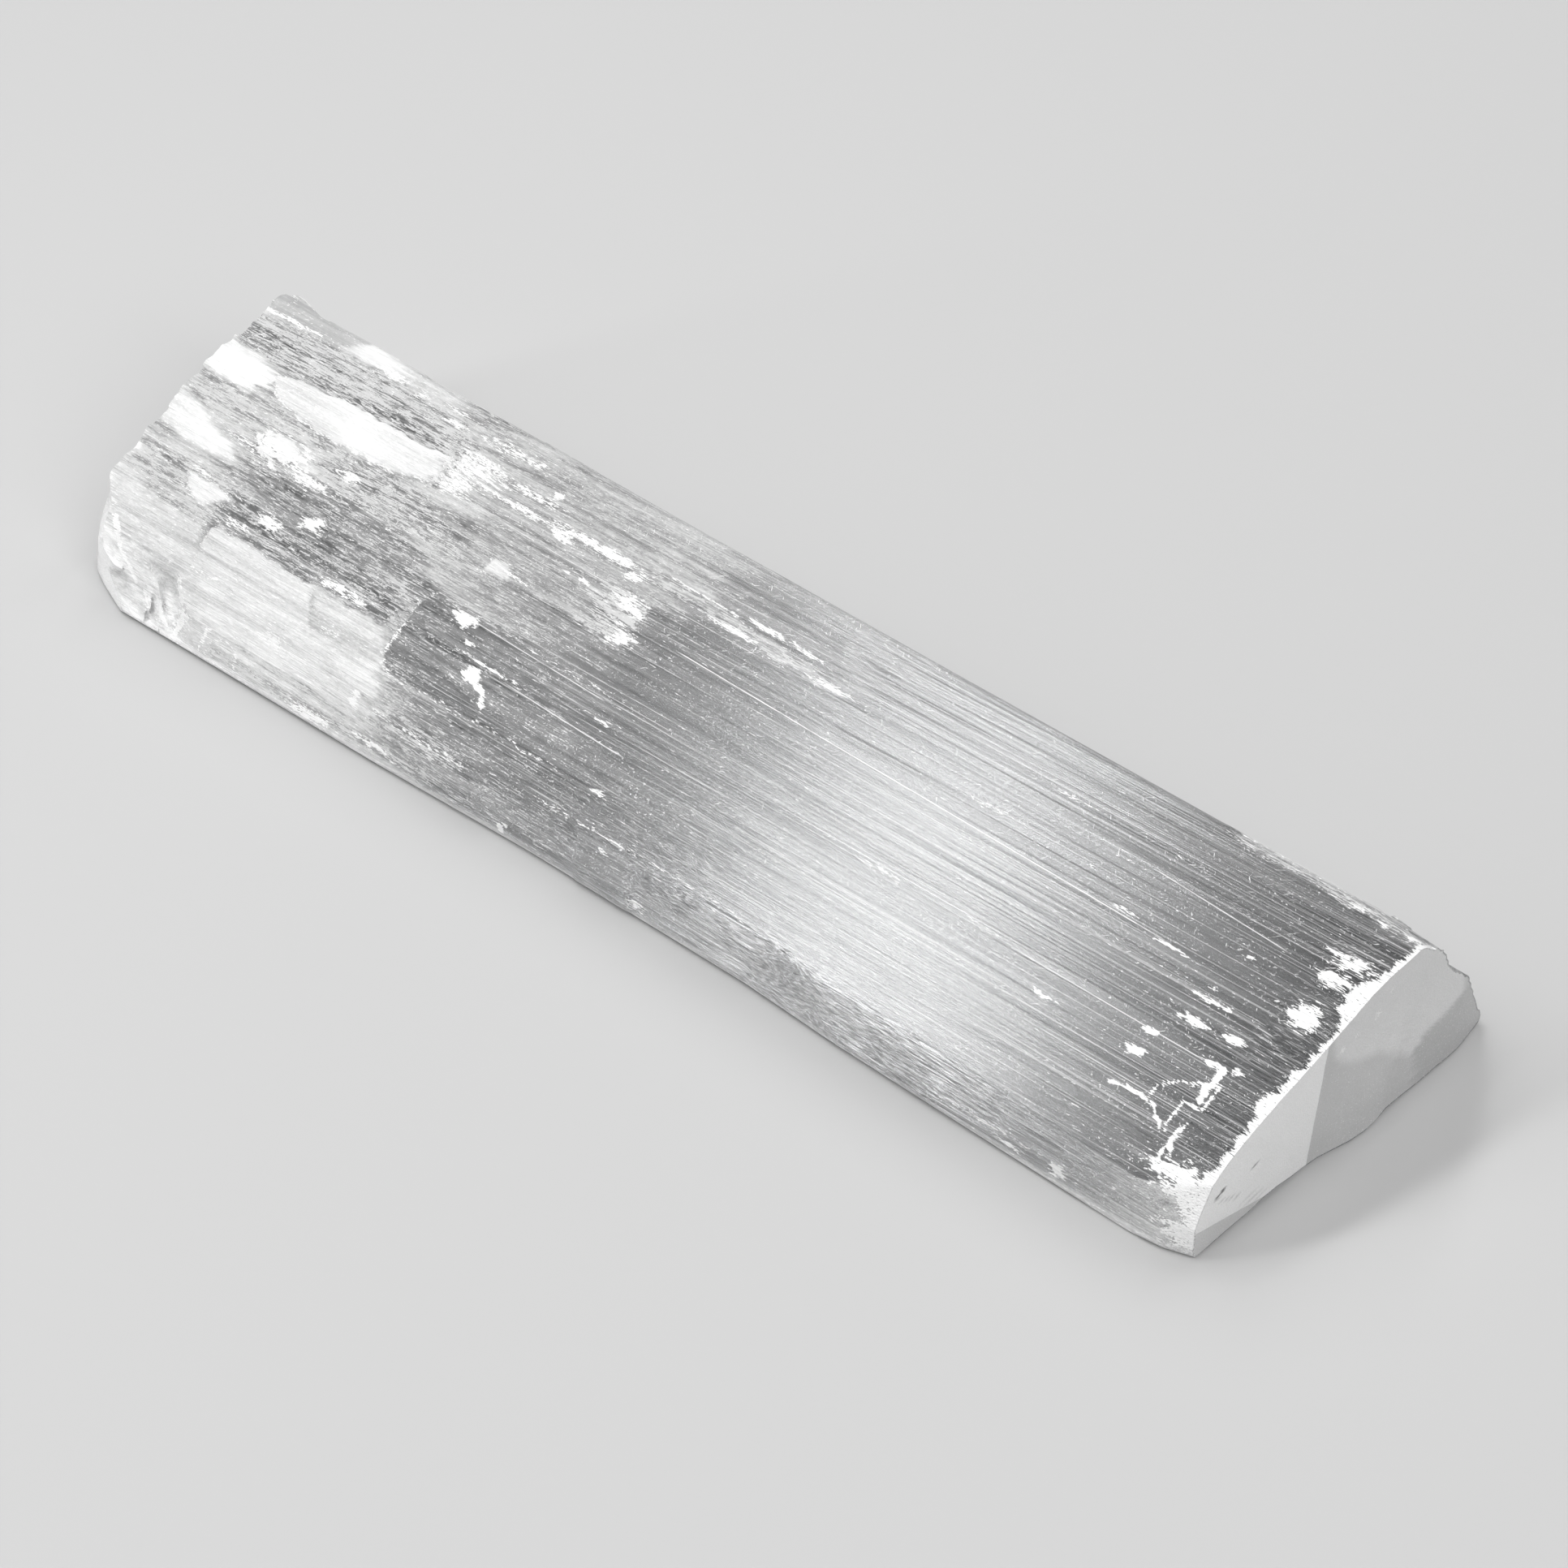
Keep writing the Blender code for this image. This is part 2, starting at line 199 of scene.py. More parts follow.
# White flecks and dark specks on it: radius and place, and a thin crack
END_FLECKS = ((0.8, (28.7, 15.9)), (0.6, (31.6, 16.4)), (0.9, (36.0, 17.1)), (0.5, (38.8, 19.4)))
END_CRACK = ((4.9, 6.5), (7.7, 5.1), (9.6, 4.3), (11.4, 2.1), (13.4, 1.5))
END_SPECKS = (
    (0.45, (4.7, 8.2)), (0.4, (4.0, 7.6)), (0.22, (11.2, 8.0)), (0.2, (17.4, 3.5)), (0.2, (40.2, 9.6)),
)
END_CRACK_DIP, END_CRACK_LEFT = 0.3, 0.7


def right_break(y, z):
    """How far the right end stands out from its plane."""
    front = y - FRONT_CORNER
    swell = END_SWELL * smooth(END_SWELL_FROM, END_SWELL_TO, front)
    swell -= END_HEEL * smooth(END_HEEL_FROM, END_HEEL_TO, front)
    low = 1 - smooth(2, 17, z)
    across = front - END_STEP_FOOT - END_STEP_FALL * z
    step = END_STEP * smooth(-END_STEP_WIDTH, END_STEP_WIDTH, across)
    step *= END_STEP_AT_TOP + (1 - END_STEP_AT_TOP) * low
    dish = END_DISH * math.sin(front / END_DISH_WIDTH) * smooth(0, 20, z)
    hackle = 0.05 * grain(y, z, (1.9, 2.6), 2.7)
    return swell * low - step + dish + hackle


def right_looks(y, z):
    """How bruised, milky and streaked the right end is, with its facets painted lighter or darker as the
    light falls on them.
    """
    front = y - FRONT_CORNER
    bent = front + 0.3 * grain(y, z, (2, 2), 6.1), z + 0.3 * grain(y, z, (2, 2), 8.6)
    white = END_WHITE + 0.05 * grain(y, z, (5, 5), 1.3)
    # Each facet's own whiteness here is a painted light or shade
    for own_white, soft, corners in END_FACET_LIGHT_AND_SHADE.values():
        white += (own_white - white) * smooth(soft, -soft, near_path(corners, *bent, True))
    clear_of_it = smooth(0.05, 0.3, near_path(END_CRACK, *bent, False))
    white *= clear_of_it * END_CRACK_DIP + END_CRACK_LEFT
    for radius, (u, v) in END_SPECKS:
        white *= smooth(radius - 0.1, radius + 0.1, math.hypot(front - u, z - v))
    bruised = 0.0
    for radius, (u, v) in END_FLECKS:
        bruised = max(bruised, 0.8 * smooth(1.4 * radius, 0, math.hypot(front - u, z - v)))
    return bruised, white, 0.03


# The left end is torn: it leans back towards its top, and its lower front corner is rounded off
LEFT_LEAN, LEFT_LEAN_BELOW = 0.34, 16
LEFT_SKEW, LEFT_SKEW_FROM, LEFT_SKEW_AT_FOOT = 0.22, 10, 0.3
# That corner is two flat breaks: where each starts, and how fast it falls back
LEFT_CORNER_BREAKS = ((9, 0.95), (5.3, 2.45))
LEFT_CORNER_EDGE = 3.0
LEFT_REACH = 34


def left_break(y, z):
    """How far the left end stands out to the left of its plane."""
    front = y - FRONT_CORNER
    lean = LEFT_LEAN * max(0.0, LEFT_LEAN_BELOW - z)
    skew = LEFT_SKEW * (front - LEFT_SKEW_FROM)
    skew *= LEFT_SKEW_AT_FOOT + (1 - LEFT_SKEW_AT_FOOT) * z / HIGH[2]
    corner = max(0.0, *((start - front) * fall for start, fall in LEFT_CORNER_BREAKS))
    scallop = 1.3 * grain(y, z, (7, 6), 3.7) + 0.5 * grain(y, z, (2.2, 3), 8.1)
    splinters = 0.25 * grain(y, z, (1.8, 1.8), 5.9)
    return lean + skew - corner + scallop + splinters


def left_looks(y, z):
    """The same for the left end."""
    ledge = grain(y, z, (4, 2.4), 5.5)
    edge = smooth(0.9, 0.2, abs(y - FRONT_CORNER - LEFT_CORNER_EDGE))
    return max(0.5 + ledge, edge), 0.95 + 0.2 * grain(y, z, (6, 6), 9.1), 0.4


def along(x, y, z):
    """Where a point of the ring at x really lies along the blade, near the broken ends."""
    right = 1 - smooth(0, END_REACH, RIGHT_END - x)
    left = 1 - smooth(0, LEFT_REACH, x - LEFT_END)
    return x + right * right_break(y, z) - left * left_break(y, z)


# Sheets of fibres that still stand, have split off, or are bruised as a whole, seen from above:
# how far each stands out at its left front, left back, right front and right back, how milky and
# how streaked it is, how white its inside and its border are, how ragged its ends and how soft its
# border are, and its corners as (back, front)
SHEETS = {
    "rim_at_the_left": (
        (0, 0, 0, 0), 0.95, 0.5, 0.5, 0, 5.0, 3.0,
        ((232, 54), (232, -6), (214, -6), (218, 10), (219, 20), (221, 30), (222.5, 41), (223.5, 54)),
    ),
    "mixed_fibres_at_the_left": (
        (0, 0, 0, 0), 0.5, 0.56, 0, 0, 3.5, 2.0,
        ((218, 32.5), (214, 26.5), (203, 23.5), (194, 28), (190, 31.5)),
    ),
    "white_patch_at_the_left_end": (
        (0.2, 0.3, -0.1, 0.1), 0.92, 0.15, 0.4, 0.1, 4.5, 0.5,
        ((227, 41.2), (219, 41), (214, 38.3), (209, 37.4), (205, 36), (204, 33), (209, 31.5),
         (217, 32.5), (226, 31)),
    ),
    "low_white_patch_at_the_left_end": (
        (0.1, 0.3, 0, 0.1), 0.86, 0.3, 0.3, 0.1, 5.0, 0.6,
        ((226, 29.5), (217, 27), (211, 25), (203, 22.3), (199, 20.5), (207, 19.5), (215, 20.5), (223, 21)),
    ),
    "grey_facet_by_the_back": (
        (0, 0, 0, 0), 0.5, 0.06, 0, 0.4, 0.5, 0.4,
        ((224, 54), (223, 49.0), (212, 48.2), (203, 47.3), (200, 50), (200, 54)),
    ),
    "bare_fibres_at_the_back": (
        (-0.2, -0.1, -0.6, -0.2), 0.33, 0.56, 0, 0.1, 2.0, 0.7,
        ((222, 46.5), (215, 38.9), (205, 38.4), (171, 38.1), (170, 42.5), (178, 46), (190, 47), (205, 47.2)),
    ),
    "bare_fibres_in_the_middle": (
        (0, 0, 0, 0), 0.33, 0.54, 0, 0, 4.5, 1.5,
        ((192, 30.5), (188, 24), (176, 23.8), (160, 24), (161, 30), (175, 31)),
    ),
    "dark_fibres_in_the_middle": (
        (-0.3, -0.3, -0.1, -0.1), 0.2, 0.44, 0, 0, 5.0, 1.2,
        ((191, 22.5), (192, 17), (184, 16), (165, 16), (158, 18), (160, 23), (178, 23)),
    ),
    "trough_behind_the_slab": (
        (-0.2, -0.2, -0.5, -0.3), 0.18, 0.46, 0, 0, 3.5, 0.7,
        ((195, 16), (196.5, 10.4), (194, 10.3), (165, 10.0), (157.5, 10.6), (160, 16)),
    ),
    "fibres_left_of_the_trough": (
        (0, 0, -0.2, -0.2), 0.42, 0.54, 0, 0, 3.0, 0.8,
        ((216, 17), (216.5, 11.7), (205, 10), (196.5, 10.4), (196, 17)),
    ),
    "long_white_splinter": (
        (0.1, 0.4, 0.35, 1.1), 0.86, 0.15, 0, 0.9, 0.4, 0.22,
        ((205.2, 35.4), (203.6, 37.5), (199, 38.2), (190, 38.5), (171.5, 38.3), (171, 33.2), (176, 32.2),
         (182, 31.6), (190, 31.2), (197, 31.7), (202, 33.1)),
    ),
    "torn_end_of_the_splinter": (
        (0.4, 0.9, 0.1, 0.2), 0.6, 0.6, 0.72, 0.3, 3.0, 0.9,
        ((172, 38.2), (170.2, 42.3), (166, 42), (163, 40), (161.5, 37.5), (165, 36), (162.5, 33.3),
         (168, 32.6), (172, 33.2)),
    ),
    "flake_in_the_trough": (
        (0.2, 0.6, 0.1, 0.5), 0.82, 0.15, 0.1, 0.5, 0.8, 0.3,
        ((205, 15.3), (203.6, 13.3), (200, 12), (197.5, 12.6), (196, 14.2), (198, 15.5)),
    ),
    "slope_at_the_left": (
        (0, 0.1, 0, 0.1), 0.72, 0.4, 0, 0.2, 2.5, 0.6,
        ((217, 11.4), (205, 9.8), (195.5, 9.5), (195.6, 3), (205, -6), (214, 3)),
    ),
    "low_slope": (
        (0, 0, 0, 0), 0.78, 0.4, 0, 0, 4.0, 2.0,
        ((196, 5), (172, 5.5), (155, 7), (152, 3), (150, -6), (206, -6)),
    ),
    "slab_on_the_slope": (
        (0, 0.8, 0, 0.2), 0.74, 0.16, 0, 0.5, 0.5, 0.25,
        ((194.2, 10.3), (172.3, 9.9), (171.3, 7.5), (169, 5.8), (176, 4), (195.6, 5)),
    ),
    "slope_right_of_the_slab": (
        (0, 0.1, 0, 0.1), 0.64, 0.35, 0, 0.1, 2.0, 0.5,
        ((172, 9.9), (157.5, 10.1), (155, 6.2), (169, 5)),
    ),
    "plate": (
        (0.1, 0.65, 0, 0), 0.16, 0.34, 0, 0.6, 0.2, 0.22,
        ((154.6, 17.8), (155.4, 15.5), (154.9, 11), (155, 8), (154, 6.2), (151, 5.3), (118, 6), (118, 17.6)),
    ),
    "streaked_sheet_in_the_middle": (
        (0, 0, 0, 0), 0.4, 0.42, 0, 0, 14.0, 3.0,
        ((161, 51), (161, 28), (148, 24.5), (132, 24), (127, 33), (121, 41), (122, 51)),
    ),
    "small_plate": (
        (0.3, 0.4, 0.1, 0.1), 0.75, 0.3, 0, 0.6, 0.4, 0.2,
        ((152.2, 27.2), (152, 24.6), (148, 24.6), (147.6, 25.5), (149, 27.2)),
    ),
    "torn_patch": (
        (0, 0, -0.4, -0.4), 0.34, 0.56, 0, 0.1, 3.5, 0.6,
        ((135, 33), (133, 24.4), (124.2, 24.2), (124.6, 28), (126.3, 33)),
    ),
    "ridge": (
        (0, 0.4, 0, 0.1), 0.4, 0.5, 0, 0.2, 4.0, 0.4,
        ((129, 39.5), (133, 36.5), (92, 34.6), (90, 36)),
    ),
    "chips_by_the_back_corner": (
        (-0.1, -0.5, -0.1, -0.6), 0.3, 0.5, 0.2, 0.3, 2.0, 0.4,
        ((33, 46.6), (26, 45.6), (20, 45.9), (13, 45), (8, 45.6), (3, 44.4), (-3, 44.6), (-3, 54), (33, 54)),
    ),
}
RAGGED_WIDTHS = (0.45, 1.6)
WANDER, WANDER_SIZE = 0.6, 2.0
FRONT_STEPS = {
    "block": (109, 97.5, 0.5, 0.3),
    "rim_at_the_corner": (9, 4.5, 0.4, 0.2),
}
KNOB_BACK, KNOB_FRONT, KNOB_LONG, KNOB_WIDE, KNOB_HEIGHT = 195.5, 25.6, 4.6, 2.7, 1.2

# Small white bruises on top, each a blurred oval: its middle and half its length along the blade,
# its middle and half its width across it, how white it is, and how ragged its ends are
BRUISES = {
    "knob": (195.5, 4.8, 25.6, 2.8, 1.5, 0.3),
    "tail_of_the_knob": (188.5, 5, 23.4, 1.1, 0.8, 2.5),
    "left_of_the_knob": (201, 3, 23.8, 1.0, 0.5, 2.0),
    "fleck_past_the_knob": (183.2, 2.2, 27.5, 1.2, 1.15, 0.8),
    "fleck_in_the_dark": (181.2, 2.5, 17.6, 1.3, 1.1, 1.0),
    "second_fleck_in_the_dark": (187.2, 2.3, 14.7, 1.0, 0.9, 0.8),
    "torn_by_the_slab": (168.5, 5.5, 11.5, 0.8, 0.9, 2.0),
    "end_of_the_flake": (203, 2.5, 16.2, 0.6, 0.7, 1.0),
    "below_the_flake": (192, 3.5, 12.2, 0.8, 0.6, 1.5),
    "spot_behind": (154.0, 1.1, 42.4, 0.9, 1.1, 0.3),
    "smear_by_the_back": (193.5, 3.0, 47.9, 1.3, 0.8, 1.5),
    "second_smear": (187.5, 1.6, 47.4, 1.0, 0.7, 1.0),
    "third_smear": (180.5, 3.5, 47.6, 0.7, 0.7, 1.5),
    "fourth_smear": (179, 3.6, 45.2, 0.5, 0.9, 1.0),
    "fifth_smear": (166, 6.5, 45.6, 1.1, 0.65, 2.0),
    "bright_line_at_the_left": (212.5, 10, 47.9, 0.35, 1.1, 1.0),
    "white_behind_the_tear": (157, 7, 40.2, 1.0, 0.65, 2.5),
    "past_the_tear": (156, 8, 36.9, 0.7, 0.8, 3.0),
    "streak_on_the_slope": (174, 3.2, 2.7, 0.9, 0.95, 1.5),
    "spot_on_the_slope": (155.6, 0.9, 2.1, 0.9, 1.1, 0.3),
    "patch_on_the_slope": (166.5, 2.8, 6.5, 0.8, 0.6, 1.5),
    "step_of_the_ridge": (147.5, 2.8, 36.3, 1.3, 0.85, 1.5),
    "white_ridge": (140.5, 9.0, 37.5, 0.9, 1.0, 2.5),
    "end_of_the_ridge": (132.3, 2.6, 35.8, 1.2, 0.85, 1.5),
    "upper_tears": (128.6, 2.8, 31.4, 1.8, 1.0, 2.0),
    "lower_tears": (125.8, 2.3, 26.1, 1.6, 1.05, 2.6),
    "tear_between": (127.6, 1.8, 28.3, 0.25, 0.9, 0.8),
    "fleck_by_the_tears": (137.4, 1.4, 31.2, 0.5, 0.95, 0.6),
    "second_fleck_by_the_tears": (141.0, 0.6, 31.2, 0.5, 0.8, 0.4),
    "small_plate_tail": (146.5, 3.0, 26.2, 0.4, 0.6, 1.5),
    "thick_line": (108.8, 5.2, 39.1, 0.5, 1.15, 1.5),
    "end_of_the_thick_line": (100.6, 2.4, 38.8, 0.4, 0.85, 1.0),
    "streak_below_it": (112.5, 4.5, 36.0, 0.55, 0.95, 2.0),
    "second_streak": (93.0, 4.5, 35.6, 0.5, 0.95, 1.5),
    "round_spot": (147.2, 2.2, 16.5, 1.3, 1.3, 0.3),
    "drop_beside_it": (144.1, 1.2, 14.0, 0.35, 1.1, 0.3),
    "second_drop": (142.6, 0.7, 9.1, 0.35, 0.9, 0.3),
    "spot_with_a_tail": (139.9, 1.5, 10.6, 1.25, 1.3, 0.3),
    "short_thick_line": (137.5, 6.6, 12.5, 0.28, 0.85, 1.0),
    "line_in_the_dark": (117.0, 2.5, 13.9, 0.25, 0.95, 0.8),
    "dash_in_the_dark": (110.3, 1.7, 5.8, 0.3, 1.0, 0.5),
    "low_dash": (103.7, 0.8, 1.0, 0.3, 1.1, 0.3),
    "faint_patch": (65.5, 3.8, 15.4, 0.6, 0.5, 1.0),
    "second_faint_patch": (48.5, 4.5, 15.7, 0.5, 0.4, 1.5),
    "third_faint_patch": (62.0, 4.5, 31.3, 0.7, 0.35, 1.5),
    "fourth_faint_patch": (54.5, 5.5, 39.1, 0.3, 0.6, 1.5),
    "fleck_on_the_sheen": (35.2, 2.8, 11.8, 0.4, 0.8, 1.5),
    "second_fleck_on_the_sheen": (35.3, 2.6, 27.5, 0.35, 0.75, 1.2),
    "third_fleck_on_the_sheen": (35.0, 1.0, 38.7, 0.35, 0.8, 0.4),
    "long_fleck": (26.2, 3.8, 26.1, 0.3, 0.95, 1.2),
    "hooked_fleck": (16.6, 3.4, 22.3, 0.4, 1.0, 1.2),
    "tip_of_the_hook": (13.6, 0.35, 22.8, 0.6, 1.0, 0.1),
    "fleck_over_the_hook": (17.2, 0.7, 24.1, 0.4, 0.9, 0.3),
    "fourth_fleck": (16.2, 2.0, 18.8, 0.7, 1.15, 1.0),
    "fuzzy_fleck": (10.6, 2.3, 19.0, 0.9, 0.85, 1.6),
    "fifth_fleck": (20.6, 1.8, 14.8, 0.5, 1.15, 0.8),
    "sixth_fleck": (10.2, 1.8, 15.0, 0.5, 1.05, 0.8),
    "seventh_fleck": (20.3, 1.8, 11.7, 0.7, 1.2, 0.8),
    "eighth_fleck": (6.8, 1.0, 15.9, 0.6, 0.7, 0.5),
    "ninth_fleck": (16.5, 0.9, 30.4, 0.25, 0.95, 0.3),
    "large_spot": (5.1, 2.4, 26.9, 2.1, 1.4, 0.3),
    "torn_by_the_back": (4.6, 3.8, 37.0, 1.5, 0.95, 2.5),
    "torn_below_it": (5.8, 2.8, 33.5, 1.3, 1.1, 1.5),
    "white_corner": (2.0, 7.0, 1.2, 2.0, 1.0, 2.5),
    "first_chip": (11.0, 1.5, 46.2, 0.9, 0.9, 1.0),
    "second_chip": (6.5, 1.1, 45.2, 0.5, 0.85, 0.8),
    "third_chip": (2.2, 1.8, 45.7, 0.6, 1.0, 0.8),
}
# The same on the front face, where the second place is the height, not the way in
FRONT_BRUISES = {
    "conchoidal_break": (198.5, 2.8, 6.5, 3.6, 1.1, 0.8),
    "lip_of_the_break": (195.5, 3.6, 4.6, 0.9, 0.7, 1.0),
    "streak_over_it": (178, 9, 6.8, 0.6, 0.7, 2.5),
    "rim_at_the_left": (163, 6, 1.8, 0.8, 0.9, 1.5),
    "torn_step": (150.5, 4.8, 2.9, 0.5, 0.8, 1.5),
    "dash_below_it": (145.3, 1.6, 2.2, 0.3, 0.9, 0.5),
    "spot": (156, 1.0, 10.0, 0.8, 1.1, 0.3),
    "second_spot": (160.5, 1.0, 6.3, 0.6, 0.9, 0.5),
    "dash": (125.3, 1.2, 6.8, 0.3, 1.0, 0.3),
    "crack_head": (121.2, 1.0, 9.4, 1.2, 1.2, 0.3),
    "foot_of_the_block": (96.5, 1.2, 2.6, 1.0, 0.9, 0.8),
    "thick_line_by_the_block": (94.0, 3.4, 6.2, 0.25, 0.9, 0.6),
    "short_slant": (60.8, 0.5, 3.6, 1.3, 0.6, 0.2),
    "low_white_line": (33.0, 11.0, 3.6, 0.25, 0.85, 1.0),
    "end_of_the_line": (21.2, 1.5, 2.8, 1.3, 0.9, 0.8),
    "patch_under_the_line": (29.5, 2.2, 2.2, 0.5, 0.8, 1.0),
    "dashes_near_the_corner": (16.5, 4.0, 8.2, 0.35, 0.8, 1.5),
    "more_dashes": (15.0, 3.0, 6.7, 0.4, 0.8, 1.5),
    "white_corner": (0.0, 5.0, 6.0, 6.5, 1.15, 2.5),
    "fade_from_the_corner": (8.0, 6.0, 7.5, 2.0, 0.5, 3.0),
}
# Cracks: half the width, how white, and the points (back, front) that each runs through
CRACKS = {
    "left_edge_of_the_block_pattern": (0.12, 1.0, ((19.8, 6.9), (17, 7.2), (12.8, 7.0), (12.5, 6.4))),
    "corner": (0.1, 0.8, ((14.5, 7.2), (14.4, 9.2), (13.6, 10), (12, 11.2), (8.8, 12.4))),
    "tall_upright": (0.42, 1.1, ((8.6, 15), (8.5, 13.5), (8.8, 12), (8.3, 10.4))),
    "bracket": (0.11, 0.8, ((8.2, 12.9), (7.4, 12.8), (7.3, 9.3), (10.0, 9.2), (10.2, 6), (9.6, 5))),
    "low_bracket": (0.2, 0.9, ((7.8, 7.0), (8.1, 5.5), (8.0, 3.7), (7.4, 3.5))),
    "foot": (0.25, 0.9, ((8.3, 2.8), (7.8, 0.8))),
    "step": (0.14, 0.9, ((12, 5.9), (10.8, 5.6), (10.6, 4.9))),
    "edge_of_the_plate": (
        0.15, 0.6,
        ((154.7, 17.7), (155.4, 15.3), (154.9, 11.5), (155, 8), (154, 6.1), (151.5, 5.4)),
    ),
    "tail_of_the_spot": (0.3, 1.1, ((139, 9.9), (136.6, 9.3), (135.6, 8.1), (134.9, 7.5))),
    "edge_at_the_left": (0.35, 1.0, ((214.8, 5.2), (212, 3), (208.5, -1))),
    "bright_slant": (0.4, 0.9, ((196.6, 3), (195.2, 1.4), (194.6, -0.6))),
    "line_past_the_ridge": (0.14, 0.8, ((128, 38.9), (114, 38.6))),
    "line_above_the_edge": (0.1, 0.5, ((152, 1.9), (142, 1.4), (132, 1.1))),
    "edge_of_the_strip": (0.08, 0.42, ((118, 2.3), (96, 1.9), (72, 1.0))),
}
# The same on the front face, where the second number is the height
FRONT_CRACKS = {
    "crack": (0.3, 1.1, ((121.6, 9.0), (122.0, 6.8), (122.2, 5.0), (123.4, 1.7))),
    "slant_by_the_break": (0.35, 0.8, ((187.8, 2.0), (186.9, 4.5), (185.9, 6.6))),
    "second_slant": (0.4, 0.8, ((196.5, 2.8), (193.5, 5.0), (192.0, 8.2))),
    "edge_at_the_left": (0.3, 0.9, ((210.5, 10.5), (208.0, 7.5), (206.8, 3.5))),
    "step_of_the_line": (0.2, 0.9, ((43.8, 2.9), (43.7, 4.6))),
    "wavy_line": (0.16, 0.8, ((115, 6.9), (97, 6.5), (80, 6.3), (70, 6.5), (60, 6.9), (45, 6.8), (30, 6.5))),
}
CRACK_JAG, CRACK_WHITE, CRACK_SOFT, CRACK_GAPS = 0.15, 1.25, 0.25, (0.9, 0.5)
# How far a bruise strays from its oval, and the length and width of the blots that it strays by
BLOT, BLOT_SIZE = 0.75, (1.3, 0.6)
# Hollow breaks in the front face: middle, half length, height of the middle, half height, depth
CHIPS = (
    (199.0, 4.4, 5.2, 3.8, 1.1), (205.2, 2.6, 3.4, 3.2, 0.7), (182.5, 3.5, 2.0, 2.4, 0.4),
    (96.4, 1.6, 0.6, 1.4, 0.3), (5.2, 2.4, 0.4, 1.4, 0.5),
)
# The front face is crumpled from here to the left end, in low facets with white edges
CRUMPLED_FROM, CRUMPLED_TO, CRUMPLE, CRUMPLE_SIZE = 188, 200, 1.5, (4.2, 5.0)
FRONT_FLAKE = ((147.6, 6.1), (143, 4.4), (128.4, 4.1), (127.6, 6.0), (136, 6.2))
FRONT_FLAKE_RISE = 0.5

# How far the white frill at the right end reaches in, from its back to its front
FRILL = (
    (47, 0.6), (42, 0.4), (38, 0.8), (36, 1.6), (34, 2.9), (30.5, 2.4), (28.8, 0.9), (24, 0.6),
    (21, 0.8), (19, 1.0), (17.6, 0.5), (16.5, 1.6), (13.5, 2.1), (12, 1.2), (9, 0.8), (6, 0.7),
    (4, 1.1), (3, 1.4), (0, 2.0),
)
FRILL_SOFT, FRILL_SUNK = 0.6, 0.12
# How milky the stone is all through, and how densely its fibres are bruised, along the blade
MILK = (
    (225, 0.75), (205, 0.6), (180, 0.42), (165, 0.4), (150, 0.34), (135, 0.22), (118, 0.11),
    (100, 0.09), (40, 0.09), (25, 0.06), (0, 0.02),
)
STREAKED = (
    (225, 0.4), (200, 0.5), (165, 0.5), (140, 0.42), (120, 0.3), (90, 0.2), (35, 0.13), (15, 0.12),
    (0, 0.17),
)
FRONT_MILK = (
    (215, 0.8), (180, 0.62), (160, 0.5), (140, 0.26), (115, 0.14), (97, 0.13), (60, 0.2), (20, 0.17),
    (0, 0.5),
)


def box_of(path):
    """The least and the greatest of a path's first numbers, and then of its second ones."""
    return min(u for u, v in path), max(u for u, v in path), min(v for u, v in path), max(v for u, v in path)


BOXES = {name: box_of(sheet[-1]) for name, sheet in SHEETS.items()}


def tooth(back, y, z, length, seed):
    """Torn fibres: each strip of fibres ends at its own place, up to this far from the line."""
    thin, wide = RAGGED_WIDTHS
    return length * (fibre(back, y, z, thin, 9.0, seed) + 0.6 * fibre(back, y, z, wide, 9.0, seed))


def sheets_there(back, front, y, z, milk_and_painted_light, streaked):
    """Height, whiteness, milkiness and streaks after all the sheets that reach this place."""
    height = white = 0.0
    wander = WANDER * noise.noise(Vector((back / WANDER_SIZE, front / WANDER_SIZE, 0.7)))
    for name, (rises, own_milk, own_streaks, own_white, edge, ragged, soft, corners) in SHEETS.items():
        low_back, high_back, low_front, high_front = BOXES[name]
        reach = soft + ragged + 1
        if not low_back - reach < back < high_back + reach:
            continue
        if not low_front - reach < front < high_front + reach:
            continue
        torn = tooth(back, y, z, ragged, low_front)
        share = smooth(soft, -soft, near_path(corners, back + torn, front + wander, True))
        if share == 0:
            continue
        t = min(1.0, max(0.0, (high_back - back) / (high_back - low_back)))
        s = min(1.0, max(0.0, (front - low_front) / (high_front - low_front)))
        left = rises[0] + (rises[1] - rises[0]) * s
        right = rises[2] + (rises[3] - rises[2]) * s
        height += (left + (right - left) * t) * share
        milk_and_painted_light += (own_milk - milk_and_painted_light) * share
        streaked += (own_streaks - streaked) * share
        white = max(white * (1 - share), own_white * share, 4 * edge * share * (1 - share))
    return height, white, milk_and_painted_light, streaked


def marks_there(back, across, y, z, bruises, cracks):
    """How white the bruises and cracks are there."""
    white = 0.0
    for middle, reach, centre, half, strength, ragged in bruises:
        if abs(across - centre) > 1.8 * half + 0.3:
            continue
        torn = tooth(back, y, z, ragged, centre)
        blot = BLOT * noise.noise(Vector((back / BLOT_SIZE[0], across / BLOT_SIZE[1], centre)))
        away = math.hypot((back - middle + torn) / reach, (across - centre) / half) + blot
        white = max(white, strength * (1 - smooth(0.3, 1.35, away)))
    for half, strength, path in cracks:
        jag = CRACK_JAG * fibre(back, y, z, 0.35, 30, 5.5)
        away = near_path(path, back + jag, across, False)
        broken = 0.9 + 0.8 * noise.noise(Vector((back / CRACK_GAPS[0], across / CRACK_GAPS[1], half)))
        off = smooth(half - 0.05, half + CRACK_SOFT, away)
        white = max(white, CRACK_WHITE * strength * broken * (1 - off))
    return white


def frill_there(back, front, y, z):
    """White teeth of bruised fibres along the top of the right end."""
    width = between(FRILL, front) + 1.1 * grain(front, back, (1.3, 2.2), 6.2) + tooth(back, y, z, 0.5, 3.3)
    return 1 - smooth(width - FRILL_SOFT, width + FRILL_SOFT, back)


